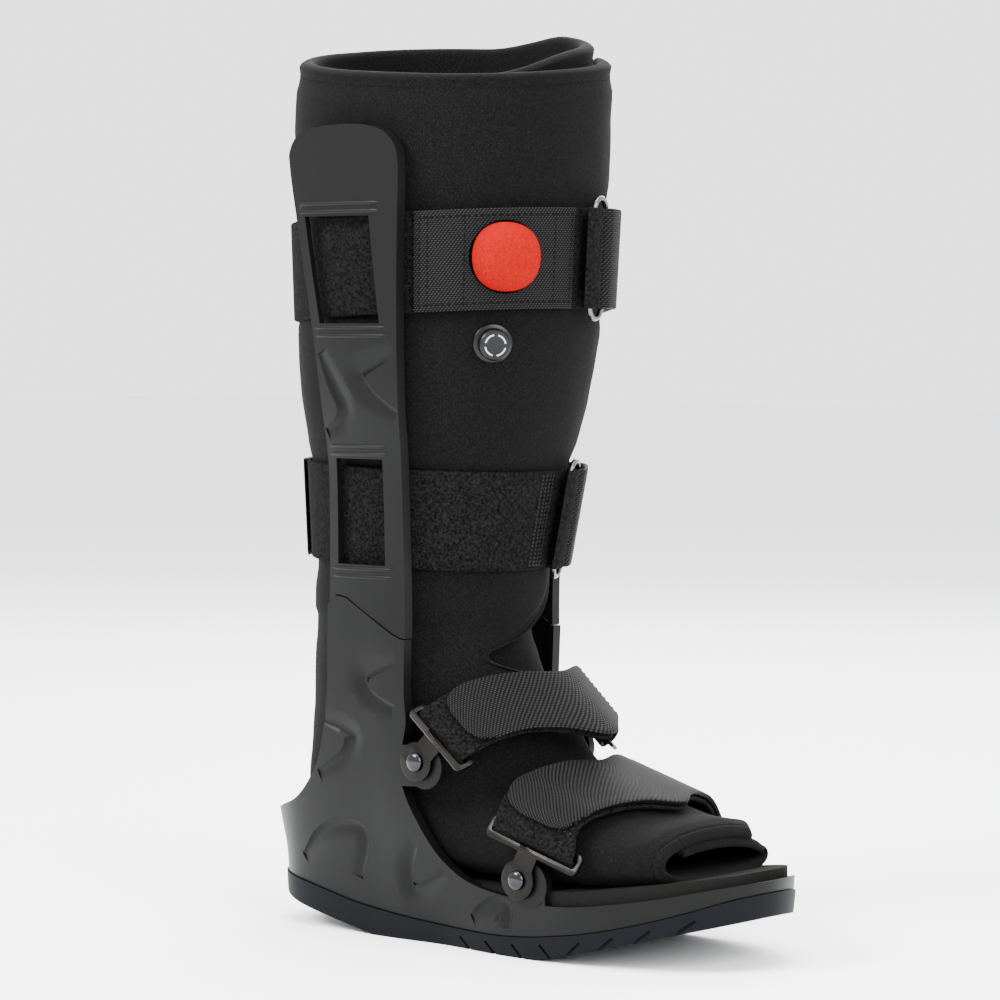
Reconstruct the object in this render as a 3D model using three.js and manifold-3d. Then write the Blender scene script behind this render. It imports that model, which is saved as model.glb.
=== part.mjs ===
import * as THREE from 'three';
import { mergeVertices } from 'three/addons/utils/BufferGeometryUtils.js';
import Module from 'manifold-3d';

// A tall medical walking boot: a rocker sole and a hard shell carry two uprights, a padded wrap
// liner stands between them, and four straps close it.
// +X points to the toes, +Y to the far side, +Z up. The origin lies on the floor, in the middle
// of the sole's flat face. All lengths are in millimetres and all angles in degrees.

const wasm = await Module();
wasm.setup();

// Sole and shell
const SOLE_LENGTH = 292;
const SOLE_WIDTH = 112;
const HEEL_WIDTH = 92;
const HEEL_ROCKER = 13;
const TOE_ROCKER = 25;
const SOLE_EDGE_HEIGHT = 27;
const OUTSOLE_LIP = 0.9;
const SHELL_WALL = 3;
const FOOTBED_HEIGHT = 31;
const FOOTBED_TOE_RISE = 13;

// Leg
const LEG_AXIS = -51;
const ANKLE_HEIGHT = 148;
const BOOT_HEIGHT = 428;
const RIM_WAVE = 7;
const CALF_DEPTH = 156;
const CALF_WIDTH = 134;
const LINER_WALL = 7.5;
const FLAP_GAP = 0.8;
// The foot takes 23 parts in 28 of the width of the sole.
const FOOT_GIRTH = (SOLE_WIDTH * 23) / 28;
const INSTEP_HEIGHT = 88;

// Uprights
const UPRIGHT_WALL = 3;
const UPRIGHT_ROOM = 6;
const UPRIGHT_BOW = 1.6;
const UPRIGHT_HEIGHT = 391;
const UPRIGHT_CORNER = 20;
const EDGE_LIP = 3;
const SEAM_RISE = 18;
const SEAM_GAP = 0.5;
const RIB_HEIGHT = 1.4;
const RIB_WIDTH = 3;
const RIB_INSET = 4;
const GROOVE_DEPTH = 1.1;
const GROOVE_WIDTH = 6;

// Straps, rings and plates
const CLEARANCE = 0.4;
const STRAP_CLEARANCE = 0.9;
const LOOP_CLEARANCE = 1.3;
const CALF_STRAP_WIDTH = 48;
const STRAP_THICKNESS = 2.2;
const WINDOW_MARGIN = 1.5;
const RING_WIDTH = 14;
const RING_WIRE = 2.7;
const RING_OVERHANG = 6;
const PLATE_THICKNESS = 1.8;
const PLATE_RAIL = 3.2;
const PLATE_SLOT = 4.2;
const PLATE_TAB_RADIUS = 9.5;
const EAR_RADIUS = 11;
const EAR_DROP = 2;
const RIVET_RADIUS = 2.6;
const RIVET_HEAD = 4.6;

// Pump and valve
const BULB_RADIUS = 17;
const BULB_HEIGHT = 12;
const VALVE_RADIUS = 9.5;
const VALVE_BASE_HEIGHT = 2.4;
const KNOB_RADIUS = 7.6;
const KNOB_HEIGHT = 6;
const KNOB_BORE = 2.6;

const HALF_SOLE = SOLE_LENGTH / 2;
const STRAP_LEVEL = STRAP_CLEARANCE + STRAP_THICKNESS / 2;
const LOOP_RADIUS = RING_WIRE / 2 + LOOP_CLEARANCE + STRAP_THICKNESS / 2;
const LIP_DEPTH = UPRIGHT_WALL + UPRIGHT_ROOM - STRAP_THICKNESS - STRAP_CLEARANCE - CLEARANCE;
const LEG_RISE = BOOT_HEIGHT - ANKLE_HEIGHT;

// Meshes and solids

// Deletes what a plain closed body doesn't need and joins its shared corners.
function solidOf(geometry) {
  const bare = geometry.clone();
  bare.deleteAttribute('normal');
  bare.deleteAttribute('uv');
  const merged = mergeVertices(bare, 1e-4);
  const source = merged.attributes.position.array;
  const corners = Array.from(merged.index.array);
  if (signedVolume(source, corners) < 0) corners.reverse();
  const mesh = new wasm.Mesh({
    numProp: 3,
    vertProperties: new Float32Array(source),
    triVerts: new Uint32Array(corners),
  });
  return new wasm.Manifold(mesh);
}

function signedVolume(positions, corners) {
  const point = (index) => new THREE.Vector3().fromArray(positions, 3 * index);
  let sum = 0;
  for (let k = 0; k < corners.length; k += 3) {
    const [a, b, c] = [point(corners[k]), point(corners[k + 1]), point(corners[k + 2])];
    sum += a.dot(b.cross(c)) / 6;
  }
  return sum;
}

function geometryOf(solid) {
  const mesh = solid.getMesh();
  const geometry = new THREE.BufferGeometry();
  geometry.setAttribute('position', new THREE.BufferAttribute(new Float32Array(mesh.vertProperties), 3));
  geometry.setIndex(new THREE.BufferAttribute(new Uint32Array(mesh.triVerts), 1));
  return geometry;
}

// Joins rings of points into one closed body, with a strip of faces over each end.
function loft(rings) {
  const count = rings[0].length;
  const positions = rings.flat().flatMap((point) => [point.x, point.y, point.z]);
  const index = [];
  for (let i = 0; i < rings.length - 1; i += 1) {
    for (let j = 0; j < count; j += 1) {
      const next = (j + 1) % count;
      const [a, b, c, d] = [i * count + j, i * count + next, (i + 1) * count + next, (i + 1) * count + j];
      index.push(a, b, c, a, c, d);
    }
  }
  const last = (rings.length - 1) * count;
  for (let j = 0; j < count / 2 - 1; j += 1) {
    const [a, b, c, d] = [j, j + 1, count - 2 - j, count - 1 - j];
    index.push(a, c, b, a, d, c);
    index.push(last + a, last + b, last + c, last + a, last + c, last + d);
  }
  const geometry = new THREE.BufferGeometry();
  geometry.setAttribute('position', new THREE.Float32BufferAttribute(positions, 3));
  geometry.setIndex(index);
  return solidOf(geometry);
}

// Extrudes an outline, given as x and z, across the whole width of the boot.
function sidePrism(outline, from = -SOLE_WIDTH, to = SOLE_WIDTH) {
  const shape = new THREE.Shape(outline.map(([x, z]) => new THREE.Vector2(x, z)));
  const geometry = new THREE.ExtrudeGeometry(shape, { depth: to - from, bevelEnabled: false });
  geometry.rotateX(Math.PI / 2);
  geometry.translate(0, to, 0);
  return solidOf(geometry);
}

// The outline of a line drawn with a flat pen of the given width.
function ribbon(points, width, side = 0) {
  const left = [];
  const right = [];
  points.forEach(([x, z], k) => {
    const [ax, az] = points[Math.max(k - 1, 0)];
    const [bx, bz] = points[Math.min(k + 1, points.length - 1)];
    const length = Math.hypot(bx - ax, bz - az);
    const [nx, nz] = [-(bz - az) / length, (bx - ax) / length];
    left.push([x + nx * width * (side + 1) / 2, z + nz * width * (side + 1) / 2]);
    right.unshift([x + nx * width * (side - 1) / 2, z + nz * width * (side - 1) / 2]);
  });
  return [...left, ...right];
}

function smoothLine(points, count) {
  const curve = new THREE.CatmullRomCurve3(
    points.map(([x, z]) => new THREE.Vector3(x, 0, z)), false, 'centripetal');
  return curve.getPoints(count).map((point) => [point.x, point.z]);
}

function mirrored(solid) {
  return solid.mirror([0, 1, 0]);
}

// Smooth values between the rows of a table, each row at its own place.
function between(rows, place) {
  const last = rows.length - 1;
  let k = 0;
  while (k < last - 1 && place > rows[k + 1].at) k += 1;
  const [a, b] = [rows[k], rows[k + 1]];
  const span = b.at - a.at;
  const t = THREE.MathUtils.clamp((place - a.at) / span, 0, 1);
  const values = {};
  for (const key of Object.keys(a)) {
    const slope = (low, high) => (high[key] - low[key]) / (high.at - low.at);
    const middle = slope(a, b);
    const start = k > 0 ? (slope(rows[k - 1], a) + middle) / 2 : middle;
    const end = k + 1 < last ? (slope(b, rows[k + 2]) + middle) / 2 : middle;
    const bend = (1 - t) * (start - middle) * t * (1 - t) * span - t * (end - middle) * t * (1 - t) * span;
    values[key] = a[key] + (b[key] - a[key]) * t + bend;
  }
  return values;
}

// Liner sections

// Leg sections are level. rise is the share of the way from ankle to rim, front and back are
// shares of CALF_DEPTH from the leg's axis, half is a share of half CALF_WIDTH, and outer and
// inner are the directions in which the outer and the inner flap end.
const LEG_SECTIONS = [
  { rise: 0.00, front: 0.301, back: 0.446, half: 0.761, outer: -6, inner: -46 },
  { rise: 0.04, front: 0.300, back: 0.442, half: 0.761, outer: 26, inner: -44 },
  { rise: 0.10, front: 0.305, back: 0.439, half: 0.769, outer: 46, inner: -42 },
  { rise: 0.20, front: 0.337, back: 0.441, half: 0.800, outer: 50, inner: -41 },
  { rise: 0.30, front: 0.381, back: 0.449, half: 0.843, outer: 50, inner: -41 },
  { rise: 0.40, front: 0.436, back: 0.474, half: 0.918, outer: 50, inner: -41 },
  { rise: 0.54, front: 0.481, back: 0.484, half: 0.970, outer: 50, inner: -41 },
  { rise: 0.76, front: 0.506, back: 0.494, half: 1.000, outer: 50, inner: -41 },
  { rise: 1.00, front: 0.524, back: 0.476, half: 1.000, outer: 50, inner: -41 },
];

// Foot sections run from the toe opening back to the ankle. topX and soleX are shares of half
// SOLE_LENGTH, topZ is a share of INSTEP_HEIGHT, soleZ one of FOOTBED_HEIGHT, half one of half
// FOOT_GIRTH, square is how boxy the section is, and wall is a share of LINER_WALL.
const FOOT_SECTIONS = [
  { topX: 0.767, topZ: 0.685, soleX: 0.781, soleZ: 1.19, half: 0.913, square: 2.5, wall: 0.50, outer: 42, inner: -36 },
  { topX: 0.719, topZ: 0.742, soleX: 0.671, soleZ: 1.12, half: 0.990, square: 2.8, wall: 0.56, outer: 46, inner: -40 },
  { topX: 0.616, topZ: 0.758, soleX: 0.397, soleZ: 1.035, half: 1.020, square: 3.0, wall: 0.70, outer: 50, inner: -42 },
  { topX: 0.514, topZ: 0.815, soleX: 0.000, soleZ: 1.03, half: 1.010, square: 3.0, wall: 0.86, outer: 50, inner: -44 },
  { topX: 0.411, topZ: 0.870, soleX: -0.411, soleZ: 1.03, half: 0.980, square: 3.0, wall: 1.00, outer: 50, inner: -46 },
  { topX: 0.308, topZ: 0.927, soleX: -0.712, soleZ: 1.033, half: 0.970, square: 2.8, wall: 1.00, outer: 50, inner: -46 },
  { topX: 0.226, topZ: 1.000, soleX: -0.849, soleZ: 1.226, half: 0.980, square: 2.6, wall: 1.00, outer: 50, inner: -46 },
  { topX: 0.158, topZ: 1.112, soleX: -0.884, soleZ: 1.935, half: 1.010, square: 2.4, wall: 1.00, outer: 46, inner: -46 },
  { topX: 0.103, topZ: 1.258, soleX: -0.870, soleZ: 2.84, half: 1.055, square: 2.3, wall: 1.00, outer: 34, inner: -46 },
  { topX: 0.055, topZ: 1.405, soleX: -0.853, soleZ: 3.61, half: 1.087, square: 2.2, wall: 1.00, outer: 10, inner: -46 },
  { topX: 0.007, topZ: 1.550, soleX: -0.839, soleZ: 4.29, half: 1.110, square: 2.2, wall: 1.00, outer: -48, inner: -46 },
];

// One list of sections with real lengths, at places that grow from the toe opening to the rim.
const SECTIONS = [
  ...FOOT_SECTIONS.map((row, k) => ({
    at: k - FOOT_SECTIONS.length,
    frontX: row.topX * HALF_SOLE,
    frontZ: row.topZ * INSTEP_HEIGHT,
    backX: row.soleX * HALF_SOLE,
    backZ: row.soleZ * FOOTBED_HEIGHT,
    half: row.half * FOOT_GIRTH / 2,
    square: row.square,
    wall: row.wall * LINER_WALL,
    outer: row.outer,
    inner: row.inner,
  })),
  ...LEG_SECTIONS.map((row) => ({
    at: row.rise * 10,
    frontX: LEG_AXIS + row.front * CALF_DEPTH,
    frontZ: ANKLE_HEIGHT + row.rise * LEG_RISE,
    backX: LEG_AXIS - row.back * CALF_DEPTH,
    backZ: ANKLE_HEIGHT + row.rise * LEG_RISE,
    half: row.half * CALF_WIDTH / 2,
    square: 2.2,
    wall: LINER_WALL,
    outer: row.outer,
    inner: row.inner,
  })),
];

const PLACES_FOOT = [-11, -10.4, -9.5, -8.5, -7.5, -6.5, -5.5, -4.5, -3.5, -2.7, -2, -1.5, -1, -0.5];
const PLACES_LEG = [0, 0.45, 4.1, 8.6, 10];
const WRAP_STEPS = 24;
const FLAP_STEPS = 6;
const FLAP_ROOT = 300;

function linerPoint(section, degrees, level) {
  const turn = THREE.MathUtils.degToRad(degrees);
  const reachX = (section.frontX - section.backX) / 2;
  const reachZ = (section.frontZ - section.backZ) / 2;
  const reach = Math.hypot(reachX, reachZ);
  const power = 2 / (Math.cos(turn) < 0 ? section.square : 2.15);
  const bent = (value) => Math.sign(value) * Math.abs(value) ** power;
  const along = bent(Math.cos(turn));
  const across = bent(Math.sin(turn));
  const slopeAlong = along / reach;
  const slopeAcross = across / section.half;
  const size = Math.hypot(slopeAlong, slopeAcross);
  const ahead = along * reach + level * slopeAlong / size;
  const aside = across * section.half + level * slopeAcross / size;
  return new THREE.Vector3(
    (section.frontX + section.backX) / 2 + ahead * reachX / reach,
    aside,
    (section.frontZ + section.backZ) / 2 + ahead * reachZ / reach,
  );
}

// A point on the leg at a height, a direction and a level out from the liner's face.
function legPoint(height, degrees, level) {
  const rise = (height - ANKLE_HEIGHT) / LEG_RISE;
  const section = { ...between(SECTIONS, rise * 10), frontZ: height, backZ: height };
  return linerPoint(section, degrees, level);
}

function legHalf(height) {
  return between(SECTIONS, 10 * (height - ANKLE_HEIGHT) / LEG_RISE).half;
}

// The direction of a column of the wrap: only the last few spread to the outer flap's free edge.
function wrapColumn(section, k) {
  const fixed = WRAP_STEPS - FLAP_STEPS;
  if (k <= fixed) return section.inner + (FLAP_ROOT - section.inner) * k / fixed;
  return FLAP_ROOT + (360 + section.outer - FLAP_ROOT) * (k - fixed) / FLAP_STEPS;
}

// The wrap starts with the inner flap, goes round the back and ends in the outer flap on top.
function makeLiner() {
  const halfStrap = CALF_STRAP_WIDTH / 2;
  const edges = WINDOWS.flatMap((row) => [strapHeight(row) - halfStrap, strapHeight(row) + halfStrap]);
  const strapPlaces = edges.map((height) => 10 * (height - ANKLE_HEIGHT) / LEG_RISE);
  const places = [...PLACES_FOOT, ...PLACES_LEG, ...strapPlaces].sort((a, b) => a - b);
  const rings = places.map((place) => {
    const section = between(SECTIONS, place);
    const outside = [];
    const inside = [];
    for (let k = 0; k <= WRAP_STEPS; k += 1) {
      const degrees = wrapColumn(section, k);
      const sunk = 1 - THREE.MathUtils.smoothstep(degrees, 66, 112);
      const level = -sunk * (section.wall + FLAP_GAP);
      const wave = RIM_WAVE * THREE.MathUtils.smoothstep(place, 8, 10) * Math.cos(Math.PI * (degrees - 130) / 180);
      const lift = (point) => point.add(new THREE.Vector3(0, 0, wave));
      outside.push(lift(linerPoint(section, degrees, level)));
      inside.unshift(lift(linerPoint(section, degrees, level - section.wall)));
    }
    return [...outside, ...inside];
  });
  const seat = shellOuter(-5).intersect(sidePrism([
    [-HALF_SOLE * 1.2, -5],
    [HALF_SOLE * 1.2, -5],
    ...footbedLine(CLEARANCE).reverse(),
  ]));
  const hold = shellOuter(-40).subtract(shellOuter(LIP_DEPTH + CLEARANCE));
  return loft(rings).subtract(seat).subtract(hold);
}

// Shell and sole

// Level outlines of the shell's outer face. up is a share of ANKLE_HEIGHT, heel and toe are
// shares of half SOLE_LENGTH, heelHalf one of half HEEL_WIDTH, lean runs from 0 at the heel's
// width to 1 at the uprights' width, and waist, ball and fore are shares of half SOLE_WIDTH.
const SHELL_LEVELS = [
  { up: -0.04, heel: 0.950, toe: 0.965, heelHalf: 0.90, lean: -0.06, waist: 0.80, ball: 0.92, fore: 0.93 },
  { up: 0.06, heel: 0.965, toe: 0.980, heelHalf: 0.95, lean: 0.00, waist: 0.84, ball: 0.94, fore: 0.96 },
  { up: 0.25, heel: 0.975, toe: 1.000, heelHalf: 1.00, lean: 0.28, waist: 0.93, ball: 0.965, fore: 1.00 },
  { up: 0.37, heel: 1.000, toe: 1.000, heelHalf: 1.06, lean: 0.52, waist: 0.99, ball: 0.985, fore: 1.00 },
  { up: 0.56, heel: 1.000, toe: 1.000, heelHalf: 1.13, lean: 0.76, waist: 1.02, ball: 1.00, fore: 1.00 },
  { up: 1.00, heel: 1.000, toe: 1.000, heelHalf: 1.20, lean: 1.00, waist: 1.04, ball: 1.00, fore: 1.00 },
  { up: 1.22, heel: 1.000, toe: 1.000, heelHalf: 1.22, lean: 1.08, waist: 1.05, ball: 1.00, fore: 1.00 },
];
const OUTLINE_STEPS = 32;

function uprightHalf(height) {
  return legHalf(height) + UPRIGHT_ROOM + UPRIGHT_WALL;
}

function shellOutline(level) {
  const heelHalf = level.heelHalf * HEEL_WIDTH / 2;
  const soleHalf = SOLE_WIDTH / 2;
  const upright = HEEL_WIDTH / 2 + level.lean * (uprightHalf(ANKLE_HEIGHT) - HEEL_WIDTH / 2);
  const right = [
    [-level.heel + 0.045, 0.55 * heelHalf],
    [-0.787, 0.95 * heelHalf],
    [LEG_AXIS / HALF_SOLE, upright],
    [-0.10, level.waist * soleHalf],
    [0.20, level.ball * soleHalf],
    [0.52, level.fore * soleHalf],
    [0.787, 0.82 * level.fore * soleHalf],
    [level.toe - 0.06, 0.50 * level.fore * soleHalf],
  ];
  const stations = [
    [-level.heel, 0],
    ...right,
    [level.toe, 0],
    ...right.map(([x, y]) => [x, -y]).reverse(),
  ];
  return new THREE.CatmullRomCurve3(
    stations.map(([x, y]) => new THREE.Vector3(x * HALF_SOLE, y, level.up * ANKLE_HEIGHT)),
    true, 'centripetal');
}

// The solid inside the shell's outer face, moved in by an inset.
function shellOuter(inset) {
  const rings = SHELL_LEVELS.map((level) => {
    const curve = shellOutline(level);
    const ring = [];
    for (let k = 0; k < OUTLINE_STEPS; k += 1) {
      const place = (k + 0.5) / OUTLINE_STEPS;
      const point = curve.getPoint(place);
      const tangent = curve.getTangent(place);
      ring.push(point.add(new THREE.Vector3(tangent.y, -tangent.x, 0).normalize().multiplyScalar(inset)));
    }
    return ring;
  });
  return loft(rings);
}

// The half width of the shell's outer face at a place.
function shellHalf(x, z) {
  const rows = SHELL_LEVELS.map((level) => {
    const curve = shellOutline(level);
    let best = 0;
    for (let k = 0; k <= OUTLINE_STEPS; k += 1) {
      const [a, b] = [curve.getPoint(k / 2 / OUTLINE_STEPS), curve.getPoint((k + 1) / 2 / OUTLINE_STEPS)];
      if (a.x <= x && b.x > x) best = a.y + (b.y - a.y) * (x - a.x) / (b.x - a.x);
    }
    return { at: level.up * ANKLE_HEIGHT, half: best };
  });
  return between(rows, z).half;
}

// Heights along the sole. x is a share of half SOLE_LENGTH.
const SOLE_LINE = [
  { at: -1.05, heel: 1.75, toe: 0, edge: 0.93 },
  { at: -0.97, heel: 1.40, toe: 0, edge: 0.92 },
  { at: -0.87, heel: 1.10, toe: 0, edge: 0.90 },
  { at: -0.75, heel: 0.80, toe: 0, edge: 0.84 },
  { at: -0.62, heel: 0.50, toe: 0, edge: 0.71 },
  { at: -0.50, heel: 0.22, toe: 0, edge: 0.57 },
  { at: -0.40, heel: 0, toe: 0, edge: 0.49 },
  { at: -0.10, heel: 0, toe: 0, edge: 0.35 },
  { at: 0.15, heel: 0, toe: 0, edge: 0.335 },
  { at: 0.30, heel: 0, toe: 0, edge: 0.39 },
  { at: 0.40, heel: 0, toe: 0.10, edge: 0.46 },
  { at: 0.52, heel: 0, toe: 0.26, edge: 0.56 },
  { at: 0.70, heel: 0, toe: 0.52, edge: 0.78 },
  { at: 0.86, heel: 0, toe: 0.76, edge: 1.04 },
  { at: 0.97, heel: 0, toe: 0.93, edge: 1.26 },
  { at: 1.05, heel: 0, toe: 1.10, edge: 1.38 },
];

function bottomLine() {
  return SOLE_LINE.map((row) => [row.at * HALF_SOLE, row.heel * HEEL_ROCKER + row.toe * TOE_ROCKER]);
}

function edgeLine(lift) {
  return SOLE_LINE.map((row) => [row.at * HALF_SOLE, row.edge * SOLE_EDGE_HEIGHT + lift]);
}

// The top of the footbed: level under the heel, rising to the toes.
function footbedLine(lift) {
  const rows = [[-1.05, 0], [0, 0], [0.27, 0.06], [0.5, 0.28], [0.7, 0.6], [0.9, 0.95], [1.05, 1.2]];
  return rows.map(([x, share]) => [x * HALF_SOLE, FOOTBED_HEIGHT + share * FOOTBED_TOE_RISE + lift]);
}

// The shell's upper edge, from the toe back to the front of the upright. x is a share of half
// SOLE_LENGTH and z one of ANKLE_HEIGHT.
const FRONT_EDGE = [
  [1.050, 0.285], [0.970, 0.272], [0.719, 0.220], [0.411, 0.180], [0.226, 0.190], [0.069, 0.212],
  [-0.013, 0.243], [-0.089, 0.300], [-0.164, 0.400], [-0.213, 0.487], [-0.231, 0.560], [-0.216, 0.640],
  [-0.198, 0.720], [-0.203, 0.800], [-0.200, 0.950], [-0.195, 1.200],
];
const BACK_EDGE = [
  [-0.527, 1.200], [-0.539, 1.000], [-0.555, 0.770], [-0.606, 0.580], [-0.650, 0.513], [-0.740, 0.433],
  [-0.880, 0.385], [-0.980, 0.357], [-1.100, 0.345],
];

function shellEdge(rows) {
  return rows.map(([x, z]) => [x * HALF_SOLE, z * ANKLE_HEIGHT]);
}

// The seam between shell and upright, as shares of the upright's width and of SEAM_RISE.
function seamLine(lift) {
  const seam = [[-0.2, 0.72], [0.0, 0.76], [0.10, 1.0], [0.25, 0.95], [0.86, 0.03], [0.97, -0.08], [1.2, -0.1]];
  const [back, front] = uprightEdges(ANKLE_HEIGHT);
  return seam.map(([across, up]) => [back + across * (front - back), ANKLE_HEIGHT + up * SEAM_RISE + lift]);
}

// Chevron grooves pressed into the shell: x shares of half SOLE_LENGTH, z of ANKLE_HEIGHT.
const SHELL_GROOVES = [
  [[-0.236, 0.925], [-0.349, 0.895], [-0.401, 0.865], [-0.375, 0.800], [-0.252, 0.750]],
  [[-0.575, 0.715], [-0.493, 0.700], [-0.432, 0.665], [-0.462, 0.590], [-0.606, 0.515]],
  [[-0.719, 0.225], [-0.616, 0.310], [-0.503, 0.345], [-0.437, 0.335], [-0.473, 0.190]],
  [[-0.195, 0.325], [-0.241, 0.255], [-0.247, 0.165], [-0.200, 0.155], [-0.062, 0.225]],
  [[0.046, 0.095], [0.123, 0.135], [0.190, 0.150], [0.195, 0.090]],
];

const EARS = {
  ankle: { x: -0.144, z: 0.598, reach: 0.025, rootX: -2, rootZ: -0.1 },
  forefoot: { x: 0.272, z: 0.253, reach: 0.035, rootX: 0, rootZ: -0.9 },
};

function earPlace(name) {
  const x = EARS[name].x * HALF_SOLE;
  const z = EARS[name].z * ANKLE_HEIGHT;
  return { x, z, face: shellHalf(x, z + PLATE_TAB_RADIUS) + CLEARANCE };
}

function alongY(radius, from, to, x, z, sides = 14) {
  const geometry = new THREE.CylinderGeometry(radius, radius, to - from, sides);
  geometry.translate(x, (from + to) / 2, z);
  return solidOf(geometry);
}

function makeShell() {
  const front = shellEdge(FRONT_EDGE);
  const profile = sidePrism([...edgeLine(CLEARANCE), ...front, ...shellEdge(BACK_EDGE)]);
  const room = sidePrism([
    ...edgeLine(CLEARANCE + SHELL_WALL),
    [HALF_SOLE * 1.2, BOOT_HEIGHT],
    [-HALF_SOLE * 1.2, BOOT_HEIGHT],
  ]);
  const belowSeam = sidePrism([...seamLine(-SEAM_GAP), [SOLE_LENGTH, -20], [-SOLE_LENGTH, -20]]);
  const outer = shellOuter(0);
  const lip = sidePrism(ribbon(front.slice(5), EDGE_LIP, 1));
  const bed = shellOuter(SHELL_WALL).intersect(sidePrism([
    [-HALF_SOLE * 1.2, -5],
    [HALF_SOLE * 1.2, -5],
    ...footbedLine(CLEARANCE).reverse(),
  ]));
  let shell = outer.intersect(profile).subtract(shellOuter(SHELL_WALL).intersect(room));
  const lipSkin = shellOuter(SHELL_WALL / 2).subtract(shellOuter(LIP_DEPTH));
  shell = shell.add(lipSkin.intersect(lip).intersect(profile).subtract(bed));
  for (const name of Object.keys(EARS)) {
    const { x, z, face } = earPlace(name);
    const centre = x + EARS[name].reach * HALF_SOLE;
    const boss = alongY(EAR_RADIUS, -face, -face + SHELL_WALL + 1, centre, z - EAR_DROP);
    const rootEnd = [centre + EARS[name].rootX * EAR_RADIUS, z - EAR_DROP + EARS[name].rootZ * EAR_RADIUS];
    const root = sidePrism(ribbon([[centre, z - EAR_DROP], rootEnd], 1.8 * EAR_RADIUS), -face, -face + SHELL_WALL + 1);
    const ear = boss.add(root.intersect(outer)).subtract(bed);
    shell = shell.add(ear).add(mirrored(ear));
  }
  for (const name of Object.keys(EARS)) {
    const { x, z } = earPlace(name);
    shell = shell.subtract(alongY(RIVET_RADIUS + CLEARANCE, -SOLE_WIDTH, SOLE_WIDTH, x, z));
  }
  const skin = shellOuter(-2).subtract(shellOuter(GROOVE_DEPTH));
  for (const groove of SHELL_GROOVES) {
    const line = smoothLine(shellEdge(groove), 3);
    shell = shell.subtract(skin.intersect(sidePrism(ribbon(line, GROOVE_WIDTH))));
  }
  return shell.intersect(belowSeam);
}

// Slanted cuts along the outsole's edge
const TREAD_CUTS = 8;
const TREAD_START = 0.02;
const TREAD_END = 0.86;
const TREAD_SLANT = 5;
const TREAD_WIDTH = 1.6;
const TREAD_DEPTH = 1.4;

function soleHeight(line, x) {
  const rows = line.map(([place, height]) => ({ at: place, height }));
  return between(rows, x).height;
}

function makeOutsole() {
  const body = shellOuter(-OUTSOLE_LIP).intersect(sidePrism([...bottomLine(), ...edgeLine(0).reverse()]));
  const skin = shellOuter(-OUTSOLE_LIP - 2).subtract(shellOuter(TREAD_DEPTH - OUTSOLE_LIP));
  const cuts = [];
  for (let k = 0; k < TREAD_CUTS; k += 1) {
    const x = HALF_SOLE * (TREAD_START + (TREAD_END - TREAD_START) * k / (TREAD_CUTS - 1));
    const low = soleHeight(bottomLine(), x);
    const high = low + 0.62 * (soleHeight(edgeLine(0), x) - low);
    const slant = k < TREAD_CUTS / 2 ? -TREAD_SLANT : TREAD_SLANT;
    cuts.push(sidePrism(ribbon([[x - slant, low - 2], [x + slant / 2, high]], TREAD_WIDTH)));
  }
  return cuts.reduce((sole, cut) => sole.subtract(skin.intersect(cut)), body);
}

function makeFootbed() {
  const low = edgeLine(SHELL_WALL + 2 * CLEARANCE);
  const end = 0.955 * HALF_SOLE;
  const cut = sidePrism([
    [-SOLE_LENGTH, -HEEL_WIDTH],
    [end, -HEEL_WIDTH],
    [end, HEEL_WIDTH],
    [-SOLE_LENGTH, HEEL_WIDTH],
  ]);
  const body = shellOuter(SHELL_WALL + CLEARANCE).intersect(sidePrism([...low, ...footbedLine(0).reverse()]));
  const rivetRoom = Object.keys(EARS).map((name) => {
    const { x, z } = earPlace(name);
    return alongY(RIVET_HEAD + CLEARANCE, -SOLE_WIDTH, SOLE_WIDTH, x, z)
      .subtract(shellOuter(SHELL_WALL + RIVET_HEAD));
  });
  return rivetRoom.reduce((bed, room) => bed.subtract(room), body.intersect(cut));
}

// Uprights

// Side outline: up is a share of UPRIGHT_HEIGHT, back and front are shares of CALF_DEPTH from
// the leg's axis.
const UPRIGHT_EDGES = [
  { at: 0.33, back: -0.169, front: 0.140 },
  { at: 0.425, back: -0.169, front: 0.140 },
  { at: 0.47, back: -0.162, front: 0.142 },
  { at: 0.59, back: -0.143, front: 0.156 },
  { at: 0.67, back: -0.144, front: 0.172 },
  { at: 0.75, back: -0.160, front: 0.184 },
  { at: 0.87, back: -0.205, front: 0.198 },
  { at: 0.95, back: -0.238, front: 0.206 },
  { at: 1.02, back: -0.252, front: 0.210 },
];

function uprightEdges(height) {
  const row = between(UPRIGHT_EDGES, height / UPRIGHT_HEIGHT);
  return [LEG_AXIS + row.back * CALF_DEPTH, LEG_AXIS + row.front * CALF_DEPTH];
}

const COLUMNS = [0, 0.33, 0.67, 1];

// A slab that follows the upright's outer face between two depths.
function uprightSlab(from, to, columns = COLUMNS) {
  const rings = UPRIGHT_EDGES.map(({ at }) => {
    const height = at * UPRIGHT_HEIGHT;
    const [back, front] = uprightEdges(height);
    const side = (depth) => {
      return columns.map((across) => {
        const bow = UPRIGHT_BOW * (2 * across - 1) ** 2;
        return new THREE.Vector3(back + across * (front - back), depth + bow - uprightHalf(height), height);
      });
    };
    return [...side(from), ...side(to).reverse()];
  });
  return loft(rings);
}

// Windows: the straps show through them. rise is the share of the leg at the strap's middle,
// and the margins are what is left of the upright beside the window, below and above.
const WINDOWS = [
  { rise: 0.209, back: 6, frontLow: 11, frontHigh: 11 },
  { rise: 0.622, back: 6, frontLow: 10, frontHigh: 17 },
];

function strapHeight(row) {
  return ANKLE_HEIGHT + row.rise * LEG_RISE;
}

const UPRIGHT_GROOVES = [
  [[0.10, 0.725], [0.22, 0.690], [0.35, 0.655], [0.27, 0.635], [0.04, 0.622]],
  [[0.96, 0.728], [0.70, 0.716], [0.48, 0.700], [0.62, 0.672], [0.97, 0.645]],
];

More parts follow.
